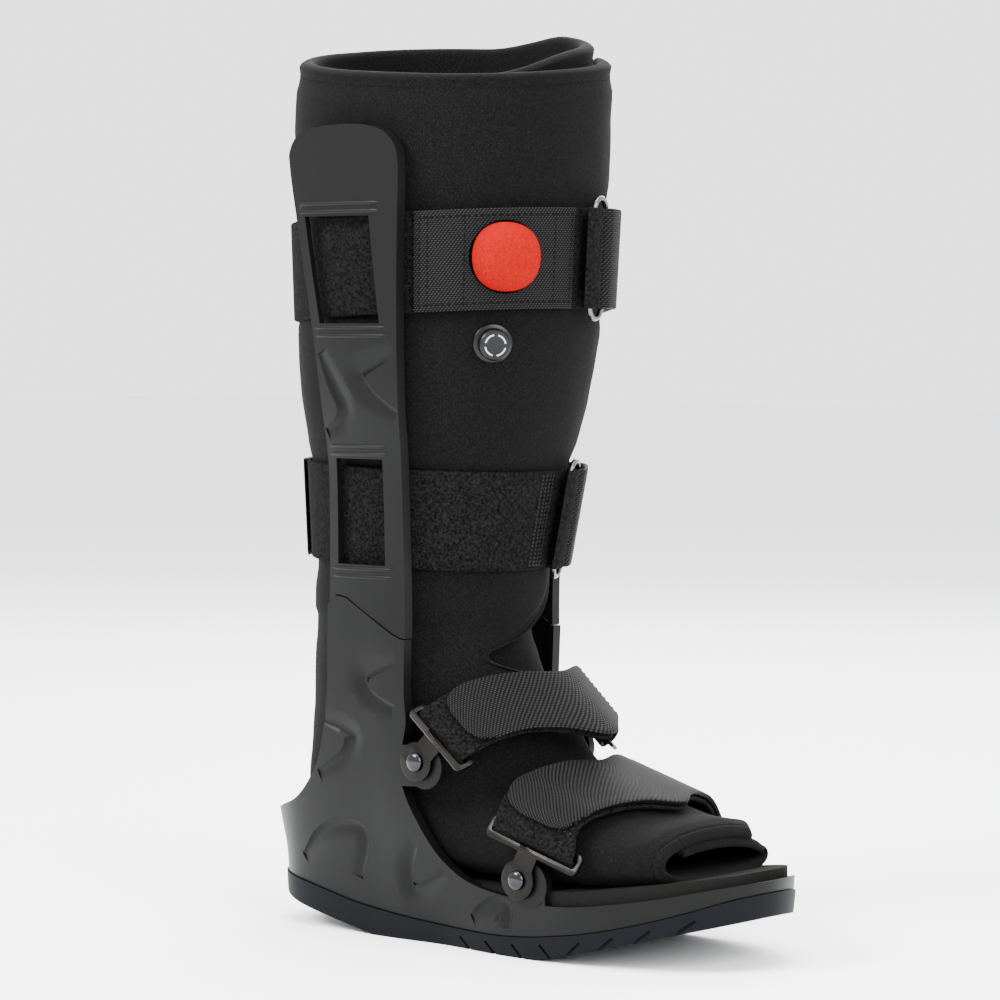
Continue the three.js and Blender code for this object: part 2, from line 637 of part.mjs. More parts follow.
function makeUpright() {
  const rows = [0.38, 0.47, 0.59, 0.67, 0.75, 0.87, 0.94].map((share) => share * UPRIGHT_HEIGHT);
  const frontLine = rows.map((height) => [uprightEdges(height)[1], height]);
  const backLine = rows.map((height) => [uprightEdges(height)[0], height]);
  const [back, front] = uprightEdges(UPRIGHT_HEIGHT);
  const top = [
    [front - 0.6, UPRIGHT_HEIGHT - UPRIGHT_CORNER],
    [front - 0.12 * UPRIGHT_CORNER, UPRIGHT_HEIGHT - 0.55 * UPRIGHT_CORNER],
    [front - 0.42 * UPRIGHT_CORNER, UPRIGHT_HEIGHT - 0.22 * UPRIGHT_CORNER],
    [front - UPRIGHT_CORNER, UPRIGHT_HEIGHT - 0.04 * UPRIGHT_CORNER],
    [(back + front) / 2, UPRIGHT_HEIGHT],
    [back + 0.7 * UPRIGHT_CORNER, UPRIGHT_HEIGHT - 0.1 * UPRIGHT_CORNER],
    [back + 0.25 * UPRIGHT_CORNER, UPRIGHT_HEIGHT - 0.32 * UPRIGHT_CORNER],
    [back + 0.04 * UPRIGHT_CORNER, UPRIGHT_HEIGHT - 0.75 * UPRIGHT_CORNER],
  ];
  const outline = [...frontLine, ...top, ...backLine.reverse()];
  const profile = sidePrism(outline, -SOLE_WIDTH, 0);
  const frontLip = sidePrism(ribbon([...frontLine, ...top.slice(0, 4)], EDGE_LIP, 1), -SOLE_WIDTH, 0);
  const wall = uprightSlab(0, UPRIGHT_WALL);
  const lip = uprightSlab(UPRIGHT_WALL / 2, LIP_DEPTH, COLUMNS.slice(-2)).intersect(frontLip);
  let upright = wall.add(lip).intersect(profile);
  const ribSkin = uprightSlab(-RIB_HEIGHT, UPRIGHT_WALL / 2);
  const groovedSkin = uprightSlab(-2, GROOVE_DEPTH);
  for (const row of WINDOWS) {
    const middle = strapHeight(row);
    const reach = CALF_STRAP_WIDTH / 2 + WINDOW_MARGIN;
    const [lowBack, lowFront] = uprightEdges(middle - reach);
    const [highBack, highFront] = uprightEdges(middle + reach);
    upright = upright.subtract(sidePrism([
      [lowBack + row.back, middle - reach],
      [lowFront - row.frontLow, middle - reach],
      [highFront - row.frontHigh, middle + reach],
      [highBack + row.back, middle + reach],
    ], -SOLE_WIDTH, 0));
    for (const [height, from, to] of [
      [middle - reach - RIB_INSET, lowBack, lowFront - row.frontLow * 0.6],
      [middle + reach + RIB_INSET, highBack, highFront - row.frontHigh * 0.6],
    ]) {
      const rib = sidePrism(ribbon([[from + 2, height], [to, height]], RIB_WIDTH), -SOLE_WIDTH, 0);
      upright = upright.add(ribSkin.intersect(rib));
    }
  }
  for (const groove of UPRIGHT_GROOVES) {
    const line = groove.map(([across, up]) => {
      const [low, high] = uprightEdges(up * UPRIGHT_HEIGHT);
      return [low + across * (high - low), up * UPRIGHT_HEIGHT];
    });
    const cut = sidePrism(ribbon(smoothLine(line, 3), GROOVE_WIDTH), -SOLE_WIDTH, 0);
    upright = upright.subtract(groovedSkin.intersect(cut));
  }
  const aboveSeam = sidePrism([...seamLine(0), [SOLE_LENGTH, BOOT_HEIGHT], [-SOLE_LENGTH, BOOT_HEIGHT]]);
  return upright.intersect(aboveSeam);
}

// Straps

// A strip of webbing: its middle line is given as distances along and levels out, and a map
// places each point of it, with across running from one edge to the other.
function webbing(line, thickness, place, acrossSteps = 1) {
  const rings = [];
  for (let w = 0; w <= acrossSteps; w += 1) {
    const upper = [];
    const lower = [];
    line.forEach(([s, n], k) => {
      const [as, an] = line[Math.max(k - 1, 0)];
      const [bs, bn] = line[Math.min(k + 1, line.length - 1)];
      const length = Math.hypot(bs - as, bn - an);
      const [ns, nn] = [-(bn - an) / length * thickness / 2, (bs - as) / length * thickness / 2];
      upper.push(place(s + ns, n + nn, w / acrossSteps));
      lower.unshift(place(s - ns, n - nn, w / acrossSteps));
    });
    rings.push([...upper, ...lower]);
  }
  return loft(rings);
}

// Points of a fold round a wire or a rail, from under it to over it.
function fold(centre, level, radius, toward) {
  const points = [];
  for (let k = 0; k <= 6; k += 1) {
    const turn = -Math.PI / 2 + Math.PI * k / 6;
    points.push([centre + toward * radius * Math.cos(turn), level + radius * Math.sin(turn)]);
  }
  return points;
}

// The calf straps. ring is the direction of the ring, tab the direction where the folded end
// stops behind the leg.
const CALF_STRAPS = {
  lower: { window: WINDOWS[0], ring: 21, tab: 214, lift: -2.5, slope: -0.03 },
  upper: { window: WINDOWS[1], ring: 9.5, tab: 190, lift: 2, slope: 0.045 },
};
const STRAP_JOIN = 52;

// The height of the strap's middle in a direction: the straps rise a little to the front.
function strapMiddle(strap, degrees) {
  const ahead = Math.cos(THREE.MathUtils.degToRad(degrees)) * CALF_DEPTH / 2;
  return strapHeight(strap.window) + strap.lift + strap.slope * ahead;
}

// Maps a distance round the leg, a level and a share across to a point on the strap. The
// distances are true at the ring.
function calfMap(strap) {
  const height = strapMiddle(strap, strap.ring);
  const [a, b] = [-6, 6].map((turn) => legPoint(height, strap.ring + turn, STRAP_LEVEL + LOOP_RADIUS));
  const radius = a.distanceTo(b) / THREE.MathUtils.degToRad(12);
  const arc = (degrees) => THREE.MathUtils.degToRad(degrees) * radius;
  const place = (s, n, across) => {
    const degrees = THREE.MathUtils.radToDeg(s / radius);
    const middle = strapMiddle(strap, degrees);
    const low = legPoint(middle - CALF_STRAP_WIDTH / 2, degrees, n);
    return low.lerp(legPoint(middle + CALF_STRAP_WIDTH / 2, degrees, n), across);
  };
  return { arc, place };
}

function level(from, to, height, steps) {
  const points = [];
  for (let k = 0; k <= steps; k += 1) points.push([from + (to - from) * k / steps, height]);
  return points;
}

// The loop strap starts at the far front, goes round the back and ends round the near bar.
function makeCalfStrap(strap) {
  const { arc, place } = calfMap(strap);
  const bar = arc(strap.ring) - (RING_WIDTH - RING_WIRE) / 2;
  const line = [
    ...level(arc(STRAP_JOIN - 360), bar - 2, STRAP_LEVEL, 30),
    ...fold(bar, STRAP_LEVEL + LOOP_RADIUS, LOOP_RADIUS, 1),
    [bar - 8, STRAP_LEVEL + 2 * LOOP_RADIUS],
  ];
  return webbing(line, STRAP_THICKNESS, place);
}

// The level at which a direction crosses the straight line between two points seen from above.
function chordLevel(height, from, to, degrees) {
  const point = legPoint(height, degrees, 0);
  const out = legPoint(height, degrees, 1).sub(point);
  const [dx, dy] = [to.x - from.x, to.y - from.y];
  return ((from.x - point.x) * dy - (from.y - point.y) * dx) / (out.x * dy - out.y * dx);
}

// The hook strap folds round the far bar, lies back over the far upright and ends behind the leg.
function makeCalfTab(strap) {
  const { arc, place } = calfMap(strap);
  const bar = arc(strap.ring) + (RING_WIDTH - RING_WIRE) / 2;
  const top = STRAP_LEVEL + 2 * LOOP_RADIUS;
  const rest = STRAP_LEVEL + STRAP_THICKNESS + STRAP_CLEARANCE;
  const height = strapHeight(strap.window);
  const [back, front] = uprightEdges(height + CALF_STRAP_WIDTH / 2);
  const face = uprightHalf(height) + RIB_HEIGHT + STRAP_CLEARANCE + STRAP_THICKNESS / 2;
  const corners = [
    legPoint(height, strap.ring + 12, top),
    new THREE.Vector3(front + 3, face, height),
    new THREE.Vector3(back - 4, face, height),
    legPoint(height, 172, rest),
  ];
  const over = [];
  for (let degrees = strap.ring + 14; degrees < 172; degrees += 8) {
    const levels = [0, 1, 2].map((k) => chordLevel(height, corners[k], corners[k + 1], degrees));
    const point = legPoint(height, degrees, levels[1]);
    const part = point.x > corners[1].x ? 0 : point.x < corners[2].x ? 2 : 1;
    over.push([arc(degrees), Math.max(levels[part], rest)]);
  }
  const line = [
    ...level(arc(STRAP_JOIN) - CLEARANCE, bar + 2, STRAP_LEVEL, 4),
    ...fold(bar, STRAP_LEVEL + LOOP_RADIUS, LOOP_RADIUS, -1),
    ...over,
    ...level(arc(174), arc(strap.tab), rest, 3),
  ];
  return webbing(line, STRAP_THICKNESS, place);
}

// A frame that stands on the leg: along runs round it, up follows its slope, out leaves it.
function legFrame(height, degrees, lift, span) {
  const low = legPoint(height - span, degrees, lift);
  const high = legPoint(height + span, degrees, lift);
  const up = high.clone().sub(low).normalize();
  const along = legPoint(height, degrees + 4, lift).sub(legPoint(height, degrees - 4, lift)).normalize();
  const out = new THREE.Vector3().crossVectors(along, up).normalize();
  along.crossVectors(up, out);
  const middle = low.add(high).multiplyScalar(0.5);
  return new THREE.Matrix4().makeBasis(along, up, out).setPosition(middle);
}

function makeRing(strap) {
  const halfTall = CALF_STRAP_WIDTH / 2 + RING_OVERHANG;
  const halfWide = RING_WIDTH / 2;
  const outline = (inset) => {
    const [w, h] = [halfWide - inset, halfTall - inset];
    const corner = Math.max(w - 1.2, 1);
    const path = new THREE.Shape();
    path.moveTo(w, -h + corner);
    path.lineTo(w, h - corner);
    path.absarc(w - corner, h - corner, corner, 0, Math.PI / 2, false);
    path.absarc(-w + corner, h - corner, corner, Math.PI / 2, Math.PI, false);
    path.lineTo(-w, -h + corner);
    path.absarc(-w + corner, -h + corner, corner, Math.PI, 1.5 * Math.PI, false);
    path.absarc(w - corner, -h + corner, corner, 1.5 * Math.PI, 2 * Math.PI, false);
    return path;
  };
  const shape = outline(0);
  shape.holes.push(outline(RING_WIRE));
  const geometry = new THREE.ExtrudeGeometry(shape, {
    depth: RING_WIRE,
    bevelEnabled: false,
    curveSegments: 2,
  });
  geometry.translate(0, 0, -RING_WIRE / 2);
  const height = strapMiddle(strap, strap.ring);
  geometry.applyMatrix4(legFrame(height, strap.ring, STRAP_LEVEL + LOOP_RADIUS, CALF_STRAP_WIDTH / 2));
  return solidOf(geometry);
}

// Pump and valve
const PUMP_TURN = -33;
const PUMP_RISE = 1;
const PANEL_START = -67;
const PANEL_LEVEL = STRAP_LEVEL + STRAP_THICKNESS + CLEARANCE;
const VALVE_TURN = -36;
const VALVE_BELOW = 15.5;
const VALVE_LIFT = -0.4;

function bulbFrame() {
  const height = strapMiddle(CALF_STRAPS.upper, PUMP_TURN) + PUMP_RISE;
  return legFrame(height, PUMP_TURN, PANEL_LEVEL - STRAP_THICKNESS / 2, 8);
}

function valveFrame() {
  const height = strapMiddle(CALF_STRAPS.upper, VALVE_TURN) - CALF_STRAP_WIDTH / 2 - VALVE_BELOW;
  return legFrame(height, VALVE_TURN, CLEARANCE, 8);
}

function makePumpPanel() {
  const { arc, place } = calfMap(CALF_STRAPS.upper);
  const end = arc(CALF_STRAPS.upper.ring) - RING_WIDTH / 2 - 10;
  const line = level(arc(PANEL_START), end, PANEL_LEVEL, 14);
  const panel = webbing(line, STRAP_THICKNESS, place);
  const hole = new THREE.CylinderGeometry(BULB_RADIUS + CLEARANCE, BULB_RADIUS + CLEARANCE, 40, 18);
  hole.rotateX(Math.PI / 2);
  hole.applyMatrix4(bulbFrame());
  return panel.subtract(solidOf(hole));
}

// A round body turned about the direction that leaves the leg. The profile gives radius and height.
function turned(profile, sides, frame) {
  const geometry = new THREE.LatheGeometry(profile.map(([r, h]) => new THREE.Vector2(r, h)), sides);
  geometry.rotateX(Math.PI / 2);
  geometry.applyMatrix4(frame);
  return solidOf(geometry);
}

function makeBulb() {
  const base = CLEARANCE;
  const profile = [[0, base], [BULB_RADIUS - 1, base], [BULB_RADIUS, base + 1.6]];
  for (let k = 1; k <= 6; k += 1) {
    const turn = Math.PI / 2 * k / 6;
    profile.push([k < 6 ? BULB_RADIUS * Math.cos(turn) : 0, base + 1.6 + BULB_HEIGHT * Math.sin(turn)]);
  }
  return turned(profile, 16, bulbFrame());
}

function makeValveBase() {
  const pin = KNOB_BORE - CLEARANCE;
  const lift = VALVE_LIFT;
  const top = VALVE_BASE_HEIGHT + lift;
  return turned([
    [0, lift], [VALVE_RADIUS - 0.6, lift], [VALVE_RADIUS, lift + 0.6], [VALVE_RADIUS, top - 0.8],
    [VALVE_RADIUS - 0.9, top], [pin, top], [pin, top + KNOB_HEIGHT / 2], [0, top + KNOB_HEIGHT / 2],
  ], 16, valveFrame());
}

function makeValveKnob() {
  const low = VALVE_BASE_HEIGHT + VALVE_LIFT + CLEARANCE;
  const high = low + KNOB_HEIGHT;
  const bore = low + KNOB_HEIGHT / 2 + CLEARANCE;
  return turned([
    [0, bore], [KNOB_BORE, bore], [KNOB_BORE, low], [KNOB_RADIUS, low],
    [KNOB_RADIUS, high - 1], [KNOB_RADIUS - 1, high], [0, high],
  ], 16, valveFrame());
}

// Foot straps

// Edge lines of the two foot straps from the near plate to the middle of the foot. side is the
// half width there as a share of half FOOT_GIRTH, x and z are in shares of half SOLE_LENGTH and
// of INSTEP_HEIGHT, for the strap's leg edge and its toe edge.
const FOOT_STRAPS = {
  ankle: [
    { side: 1.15, legX: -0.137, legZ: 1.281, toeX: 0.041, toeZ: 1.034 },
    { side: 0.95, legX: -0.089, legZ: 1.360, toeX: 0.089, toeZ: 1.101 },
    { side: 0.68, legX: -0.021, legZ: 1.416, toeX: 0.158, toeZ: 1.152 },
    { side: 0.35, legX: 0.051, legZ: 1.433, toeX: 0.240, toeZ: 1.146 },
    { side: 0.00, legX: 0.094, legZ: 1.421, toeX: 0.315, toeZ: 1.101 },
  ],
  forefoot: [
    { side: 1.17, legX: 0.178, legZ: 0.730, toeX: 0.500, toeZ: 0.573 },
    { side: 1.04, legX: 0.182, legZ: 0.843, toeX: 0.486, toeZ: 0.697 },
    { side: 0.74, legX: 0.195, legZ: 0.904, toeX: 0.507, toeZ: 0.753 },
    { side: 0.38, legX: 0.240, legZ: 0.944, toeX: 0.562, toeZ: 0.775 },
    { side: 0.00, legX: 0.281, legZ: 0.938, toeX: 0.626, toeZ: 0.753 },
  ],
};

function strapEdges(rows) {
  const points = (x, z) => {
    const half = rows.map((row) => new THREE.Vector3(
      row[x] * HALF_SOLE, -row.side * FOOT_GIRTH / 2, row[z] * INSTEP_HEIGHT));
    const far = half.slice(0, -1).reverse().map((point) => new THREE.Vector3(point.x, -point.y, point.z));
    return new THREE.CatmullRomCurve3([...half, ...far], false, 'centripetal');
  };
  return [points('legX', 'legZ'), points('toeX', 'toeZ')];
}

// Maps a distance from the near rail, a level and a share across to a point on the foot strap.
function footMap(rows) {
  const [legEdge, toeEdge] = strapEdges(rows);
  const length = (legEdge.getLength() + toeEdge.getLength()) / 2;
  const spot = (share, across) => {
    const inside = THREE.MathUtils.clamp(share, 0, 1);
    const [a, b] = [legEdge.getPoint(inside), toeEdge.getPoint(inside)];
    const [ta, tb] = [legEdge.getTangent(inside), toeEdge.getTangent(inside)];
    const width = b.clone().sub(a);
    const out = new THREE.Vector3().crossVectors(ta.add(tb), width).normalize().negate();
    const ahead = new THREE.Vector3().crossVectors(out, width).normalize();
    return { point: a.lerp(b, across).addScaledVector(ahead, (share - inside) * length), out };
  };
  const place = (s, n, across) => {
    const { point, out } = spot(s / length, across);
    return point.addScaledVector(out, n);
  };
  return { place, length };
}

const RAIL_LEAN = 0.3;
const RAIL_FOLD = PLATE_THICKNESS / 2 + STRAP_CLEARANCE + RAIL_LEAN + STRAP_THICKNESS / 2;

// The under strap runs between the two rails and turns down round the near one.
function makeFootStrap(name) {
  const { place, length } = footMap(FOOT_STRAPS[name]);
  const reach = PLATE_RAIL / 2 + STRAP_CLEARANCE + STRAP_THICKNESS / 2;
  const line = [
    [3, -RAIL_FOLD],
    [0, -RAIL_FOLD],
    [-reach + 0.4, -RAIL_FOLD + 0.8],
    [-reach, 0],
    [-reach + 0.4, RAIL_FOLD - 0.8],
    [0, RAIL_FOLD],
    ...level(6, length - 9, RAIL_FOLD, 16),
  ];
  return webbing(line, STRAP_THICKNESS, place);
}

// The over strap folds round the far rail and comes back over the foot to its rounded end.
function makeFootTab(name) {
  const { place, length } = footMap(FOOT_STRAPS[name]);
  const reach = PLATE_RAIL / 2 + STRAP_CLEARANCE + STRAP_THICKNESS / 2;
  const over = RAIL_FOLD + STRAP_THICKNESS + STRAP_CLEARANCE;
  const line = [
    [length - 3, -RAIL_FOLD],
    [length, -RAIL_FOLD],
    [length + reach - 0.4, -RAIL_FOLD + 0.8],
    [length + reach, 0],
    [length + reach - 0.4, RAIL_FOLD],
    [length, over - 0.3],
    ...level(length - 8, 9, over, 16),
  ];
  return webbing(line, STRAP_THICKNESS, place);
}

// Slot plates

function flatPlate(shape, frame) {
  const geometry = new THREE.ExtrudeGeometry(shape, {
    depth: PLATE_THICKNESS,
    bevelEnabled: false,
    curveSegments: 3,
  });
  geometry.translate(0, 0, -PLATE_THICKNESS / 2);
  geometry.applyMatrix4(frame);
  return solidOf(geometry);
}

// The bar holds the strap in its slot; the tab lies flat on the shell's ear round the rivet.
function makeSlotPlate(name) {
  const { place } = footMap(FOOT_STRAPS[name]);
  const { x, z, face } = earPlace(name);
  const [legEnd, toeEnd] = [place(0, 0, 0), place(0, 0, 1)];
  const middle = legEnd.clone().lerp(toeEnd, 0.5);
  const rivet = new THREE.Vector3(x, -face - CLEARANCE - PLATE_THICKNESS / 2, z);
  const toBar = new THREE.Vector3(middle.x - rivet.x, 0, middle.z - rivet.z);
  const neckReach = toBar.length() - Math.sqrt((PLATE_RAIL + PLATE_SLOT) ** 2 - (middle.y - rivet.y) ** 2);
  toBar.normalize();
  const neck = rivet.clone().addScaledVector(toBar, neckReach);
  const along = toeEnd.clone().sub(legEnd).normalize();
  const down = neck.clone().sub(middle);
  down.addScaledVector(along, -down.dot(along)).normalize();
  const out = new THREE.Vector3().crossVectors(along, down).normalize();
  if (out.y > 0) out.negate();
  const side = new THREE.Vector3().crossVectors(down, out);
  const barFrame = new THREE.Matrix4().makeBasis(side, down, out).setPosition(middle);
  const halfBar = legEnd.distanceTo(toeEnd) / 2 + PLATE_RAIL + CLEARANCE;
  const depth = PLATE_RAIL * 2 + PLATE_SLOT;
  const bar = roundedBox(-halfBar, halfBar, -PLATE_RAIL / 2, depth - PLATE_RAIL / 2, 3);
  const slot = roundedBox(
    -halfBar + PLATE_RAIL * 0.8, halfBar - PLATE_RAIL * 0.8,
    PLATE_RAIL / 2, PLATE_RAIL / 2 + PLATE_SLOT, 1.2);
  bar.holes.push(slot);
  const across = new THREE.Vector3().crossVectors(toBar, new THREE.Vector3(0, -1, 0));
  const tabFrame = new THREE.Matrix4()
    .makeBasis(across, toBar, new THREE.Vector3(0, -1, 0))
    .setPosition(rivet);
  const tab = new THREE.Shape();
  const waist = PLATE_TAB_RADIUS * 0.62;
  const turn = Math.asin(waist / PLATE_TAB_RADIUS);
  tab.moveTo(waist, neckReach + 1);
  tab.lineTo(waist, PLATE_TAB_RADIUS * Math.cos(turn));
  tab.absarc(0, 0, PLATE_TAB_RADIUS, Math.PI / 2 - turn, Math.PI / 2 + turn, true);
  tab.lineTo(-waist, neckReach + 1);
  const hole = new THREE.Path();
  hole.absarc(0, 0, RIVET_RADIUS + CLEARANCE, 0, Math.PI * 2, false);
  tab.holes.push(hole);
  return flatPlate(bar, barFrame).add(flatPlate(tab, tabFrame));
}

function roundedBox(left, right, low, high, corner) {
  const shape = new THREE.Shape();
  shape.moveTo(right, low + corner);
  shape.lineTo(right, high - corner);
  shape.absarc(right - corner, high - corner, corner, 0, Math.PI / 2, false);
  shape.absarc(left + corner, high - corner, corner, Math.PI / 2, Math.PI, false);
  shape.lineTo(left, low + corner);
  shape.absarc(left + corner, low + corner, corner, Math.PI, 1.5 * Math.PI, false);
  shape.absarc(right - corner, low + corner, corner, 1.5 * Math.PI, 2 * Math.PI, false);
  return shape;
}

function makeRivet(name) {
  const { x, z, face } = earPlace(name);
  const outside = face + PLATE_THICKNESS + 2 * CLEARANCE;
  const inside = face - SHELL_WALL - 1 - CLEARANCE;
  const profile = [
    [0, inside - 1], [RIVET_HEAD * 0.8, inside - 1], [RIVET_HEAD * 0.8, inside], [RIVET_RADIUS, inside],
    [RIVET_RADIUS, outside], [RIVET_HEAD, outside], [RIVET_HEAD * 0.92, outside + 1],
    [RIVET_HEAD * 0.62, outside + 2], [0, outside + 2.4],
  ];
  const geometry = new THREE.LatheGeometry(profile.map(([r, h]) => new THREE.Vector2(r, h)), 12);
  geometry.rotateX(Math.PI);
  geometry.translate(x, 0, z);
  return solidOf(geometry);
}

// Finishes
const MATERIALS = {
  rubber: new THREE.MeshStandardMaterial({ color: '#2b2e33', roughness: 0.75, metalness: 0 }),
  plastic: new THREE.MeshStandardMaterial({ color: '#1d1d1e', roughness: 0.45, metalness: 0 }),
  foam: new THREE.MeshStandardMaterial({ color: '#232322', roughness: 0.95, metalness: 0 }),
  neoprene: new THREE.MeshStandardMaterial({ color: '#141416', roughness: 0.9, metalness: 0 }),
  loopCloth: new THREE.MeshStandardMaterial({ color: '#191715', roughness: 1, metalness: 0 }),
  webbing: new THREE.MeshStandardMaterial({ color: '#1c1c1d', roughness: 0.7, metalness: 0 }),
  bulb: new THREE.MeshStandardMaterial({ color: '#e2382f', roughness: 0.85, metalness: 0 }),
  blackPlastic: new THREE.MeshStandardMaterial({ color: '#161617', roughness: 0.35, metalness: 0 }),
  wire: new THREE.MeshStandardMaterial({ color: '#5a5b5d', roughness: 0.35, metalness: 1 }),
  steel: new THREE.MeshStandardMaterial({ color: '#4a4642', roughness: 0.35, metalness: 1 }),
  rivet: new THREE.MeshStandardMaterial({ color: '#3a3a3c', roughness: 0.2, metalness: 1 }),
};

const boot = new THREE.Group();

function addPiece(name, solid, material) {
  const mesh = new THREE.Mesh(geometryOf(solid), material);
  mesh.name = name;
  boot.add(mesh);
}

function addPair(name, solid, material) {
  addPiece(`${name}_right`, solid, material);
  addPiece(`${name}_left`, mirrored(solid), material);
}

addPiece('outsole', makeOutsole(), MATERIALS.rubber);
addPiece('shell', makeShell(), MATERIALS.plastic);
addPiece('footbed', makeFootbed(), MATERIALS.foam);
addPiece('liner', makeLiner(), MATERIALS.neoprene);
addPair('upright', makeUpright(), MATERIALS.plastic);
for (const [name, strap] of Object.entries(CALF_STRAPS)) {
  addPiece(`calf_strap_${name}`, makeCalfStrap(strap), MATERIALS.loopCloth);
  addPiece(`calf_tab_${name}`, makeCalfTab(strap), MATERIALS.webbing);
  addPiece(`calf_ring_${name}`, makeRing(strap), MATERIALS.wire);
}
addPiece('pump_panel', makePumpPanel(), MATERIALS.webbing);
addPiece('pump_bulb', makeBulb(), MATERIALS.bulb);
addPiece('valve_base', makeValveBase(), MATERIALS.blackPlastic);
addPiece('valve_knob', makeValveKnob(), MATERIALS.blackPlastic);
for (const name of Object.keys(FOOT_STRAPS)) {
  addPiece(`${name}_strap`, makeFootStrap(name), MATERIALS.webbing);
  addPiece(`${name}_tab`, makeFootTab(name), MATERIALS.webbing);
  addPair(`${name}_plate`, makeSlotPlate(name), MATERIALS.steel);
  addPair(`${name}_rivet`, makeRivet(name), MATERIALS.rivet);
}

export default boot;
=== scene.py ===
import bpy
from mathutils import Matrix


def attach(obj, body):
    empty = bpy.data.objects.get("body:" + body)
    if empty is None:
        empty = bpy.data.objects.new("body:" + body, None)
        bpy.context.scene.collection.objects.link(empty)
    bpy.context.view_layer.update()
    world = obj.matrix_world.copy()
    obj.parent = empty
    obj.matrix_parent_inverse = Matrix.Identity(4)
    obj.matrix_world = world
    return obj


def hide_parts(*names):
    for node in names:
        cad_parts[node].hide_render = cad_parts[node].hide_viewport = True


bl_info = {
    "name": "Walking Boot Builder",
    "version": (1, 0, 0),
    "blender": (4, 5, 0),
    "location": "View3D > Sidebar > Walking Boot",
    "description": "Dresses a tall medical walking boot: shell, padded liner, straps, pump and sole",
    "category": "Add Mesh",
}

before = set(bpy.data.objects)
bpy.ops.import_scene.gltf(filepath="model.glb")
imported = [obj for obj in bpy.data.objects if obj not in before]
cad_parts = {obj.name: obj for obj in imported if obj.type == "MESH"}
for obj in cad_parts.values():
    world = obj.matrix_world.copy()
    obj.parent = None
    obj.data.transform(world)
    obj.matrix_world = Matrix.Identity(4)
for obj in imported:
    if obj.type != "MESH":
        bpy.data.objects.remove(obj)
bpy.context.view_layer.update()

import math

import bmesh
import bpy
import numpy as np
from bpy.props import FloatProperty, FloatVectorProperty, PointerProperty
from mathutils import Matrix, Vector, noise
from mathutils.bvhtree import BVHTree

MM = 0.001

# Tables. Every share is of the named size that the comment above the table gives.


def table(names, rows):
    """A list of rows, each a dict by column name."""
    return [dict(zip(names, row)) for row in rows]


# rise is the share of the way from ankle to rim; front and back are shares of the calf's depth,
# half one of half its width; outer and inner are the directions in which the two flaps end.
LEG_SECTIONS = table(("rise", "front", "back", "half", "outer", "inner"), [
    (0.00, 0.301, 0.446, 0.761, 6, -46),
    (0.04, 0.300, 0.442, 0.761, 26, -44),
    (0.10, 0.305, 0.439, 0.769, 46, -42),
    (0.20, 0.337, 0.441, 0.800, 50, -41),
    (0.30, 0.381, 0.449, 0.843, 50, -41),
    (0.40, 0.436, 0.474, 0.918, 50, -41),
    (0.54, 0.481, 0.484, 0.970, 50, -41),
    (0.76, 0.506, 0.494, 1.000, 50, -41),
    (1.00, 0.524, 0.476, 1.000, 50, -41),
])

# top_x and sole_x are shares of half the sole's length, top_z one of the instep's height, sole_z
# one of the footbed's, half one of half the foot's girth, wall one of the liner's wall.
FOOT_SECTIONS = table(
    ("top_x", "top_z", "sole_x", "sole_z", "half", "square", "wall", "outer", "inner"), [
        (0.767, 0.685, 0.781, 1.190, 0.913, 2.5, 0.50, 42, -36),
        (0.719, 0.742, 0.671, 1.120, 0.990, 2.8, 0.56, 46, -40),
        (0.616, 0.758, 0.397, 1.035, 1.020, 3.0, 0.70, 50, -42),
        (0.514, 0.815, 0.000, 1.030, 1.010, 3.0, 0.86, 50, -44),
        (0.411, 0.870, -0.411, 1.030, 0.980, 3.0, 1.00, 50, -46),
        (0.308, 0.927, -0.712, 1.033, 0.970, 2.8, 1.00, 50, -46),
        (0.226, 1.000, -0.849, 1.226, 0.980, 2.6, 1.00, 50, -46),
        (0.158, 1.112, -0.884, 1.935, 1.010, 2.4, 1.00, 46, -46),
        (0.103, 1.258, -0.870, 2.840, 1.055, 2.3, 1.00, 34, -46),
        (0.055, 1.405, -0.853, 3.610, 1.087, 2.2, 1.00, 12, -46),
        (0.007, 1.550, -0.839, 4.290, 1.110, 2.2, 1.00, -26, -46),
    ])

# Level outlines of the shell: up is a share of the ankle's height, heel and toe of half the
# sole's length, heel_half of half the heel's width, waist, ball and fore of half the sole's width,
# and lean runs from the heel's width to the uprights'.
SHELL_LEVELS = table(("at", "heel", "toe", "heel_half", "lean", "waist", "ball", "fore"), [
    (-0.04, 0.950, 0.965, 0.90, -0.06, 0.80, 0.920, 0.93),
    (0.06, 0.965, 0.980, 0.95, 0.00, 0.84, 0.940, 0.96),
    (0.25, 0.975, 1.000, 1.00, 0.28, 0.93, 0.965, 1.00),
    (0.37, 1.000, 1.000, 1.06, 0.52, 0.99, 0.985, 1.00),
    (0.56, 1.000, 1.000, 1.13, 0.76, 1.02, 1.000, 1.00),
    (1.00, 1.000, 1.000, 1.20, 1.00, 1.04, 1.000, 1.00),
    (1.22, 1.000, 1.000, 1.22, 1.08, 1.05, 1.000, 1.00),
])

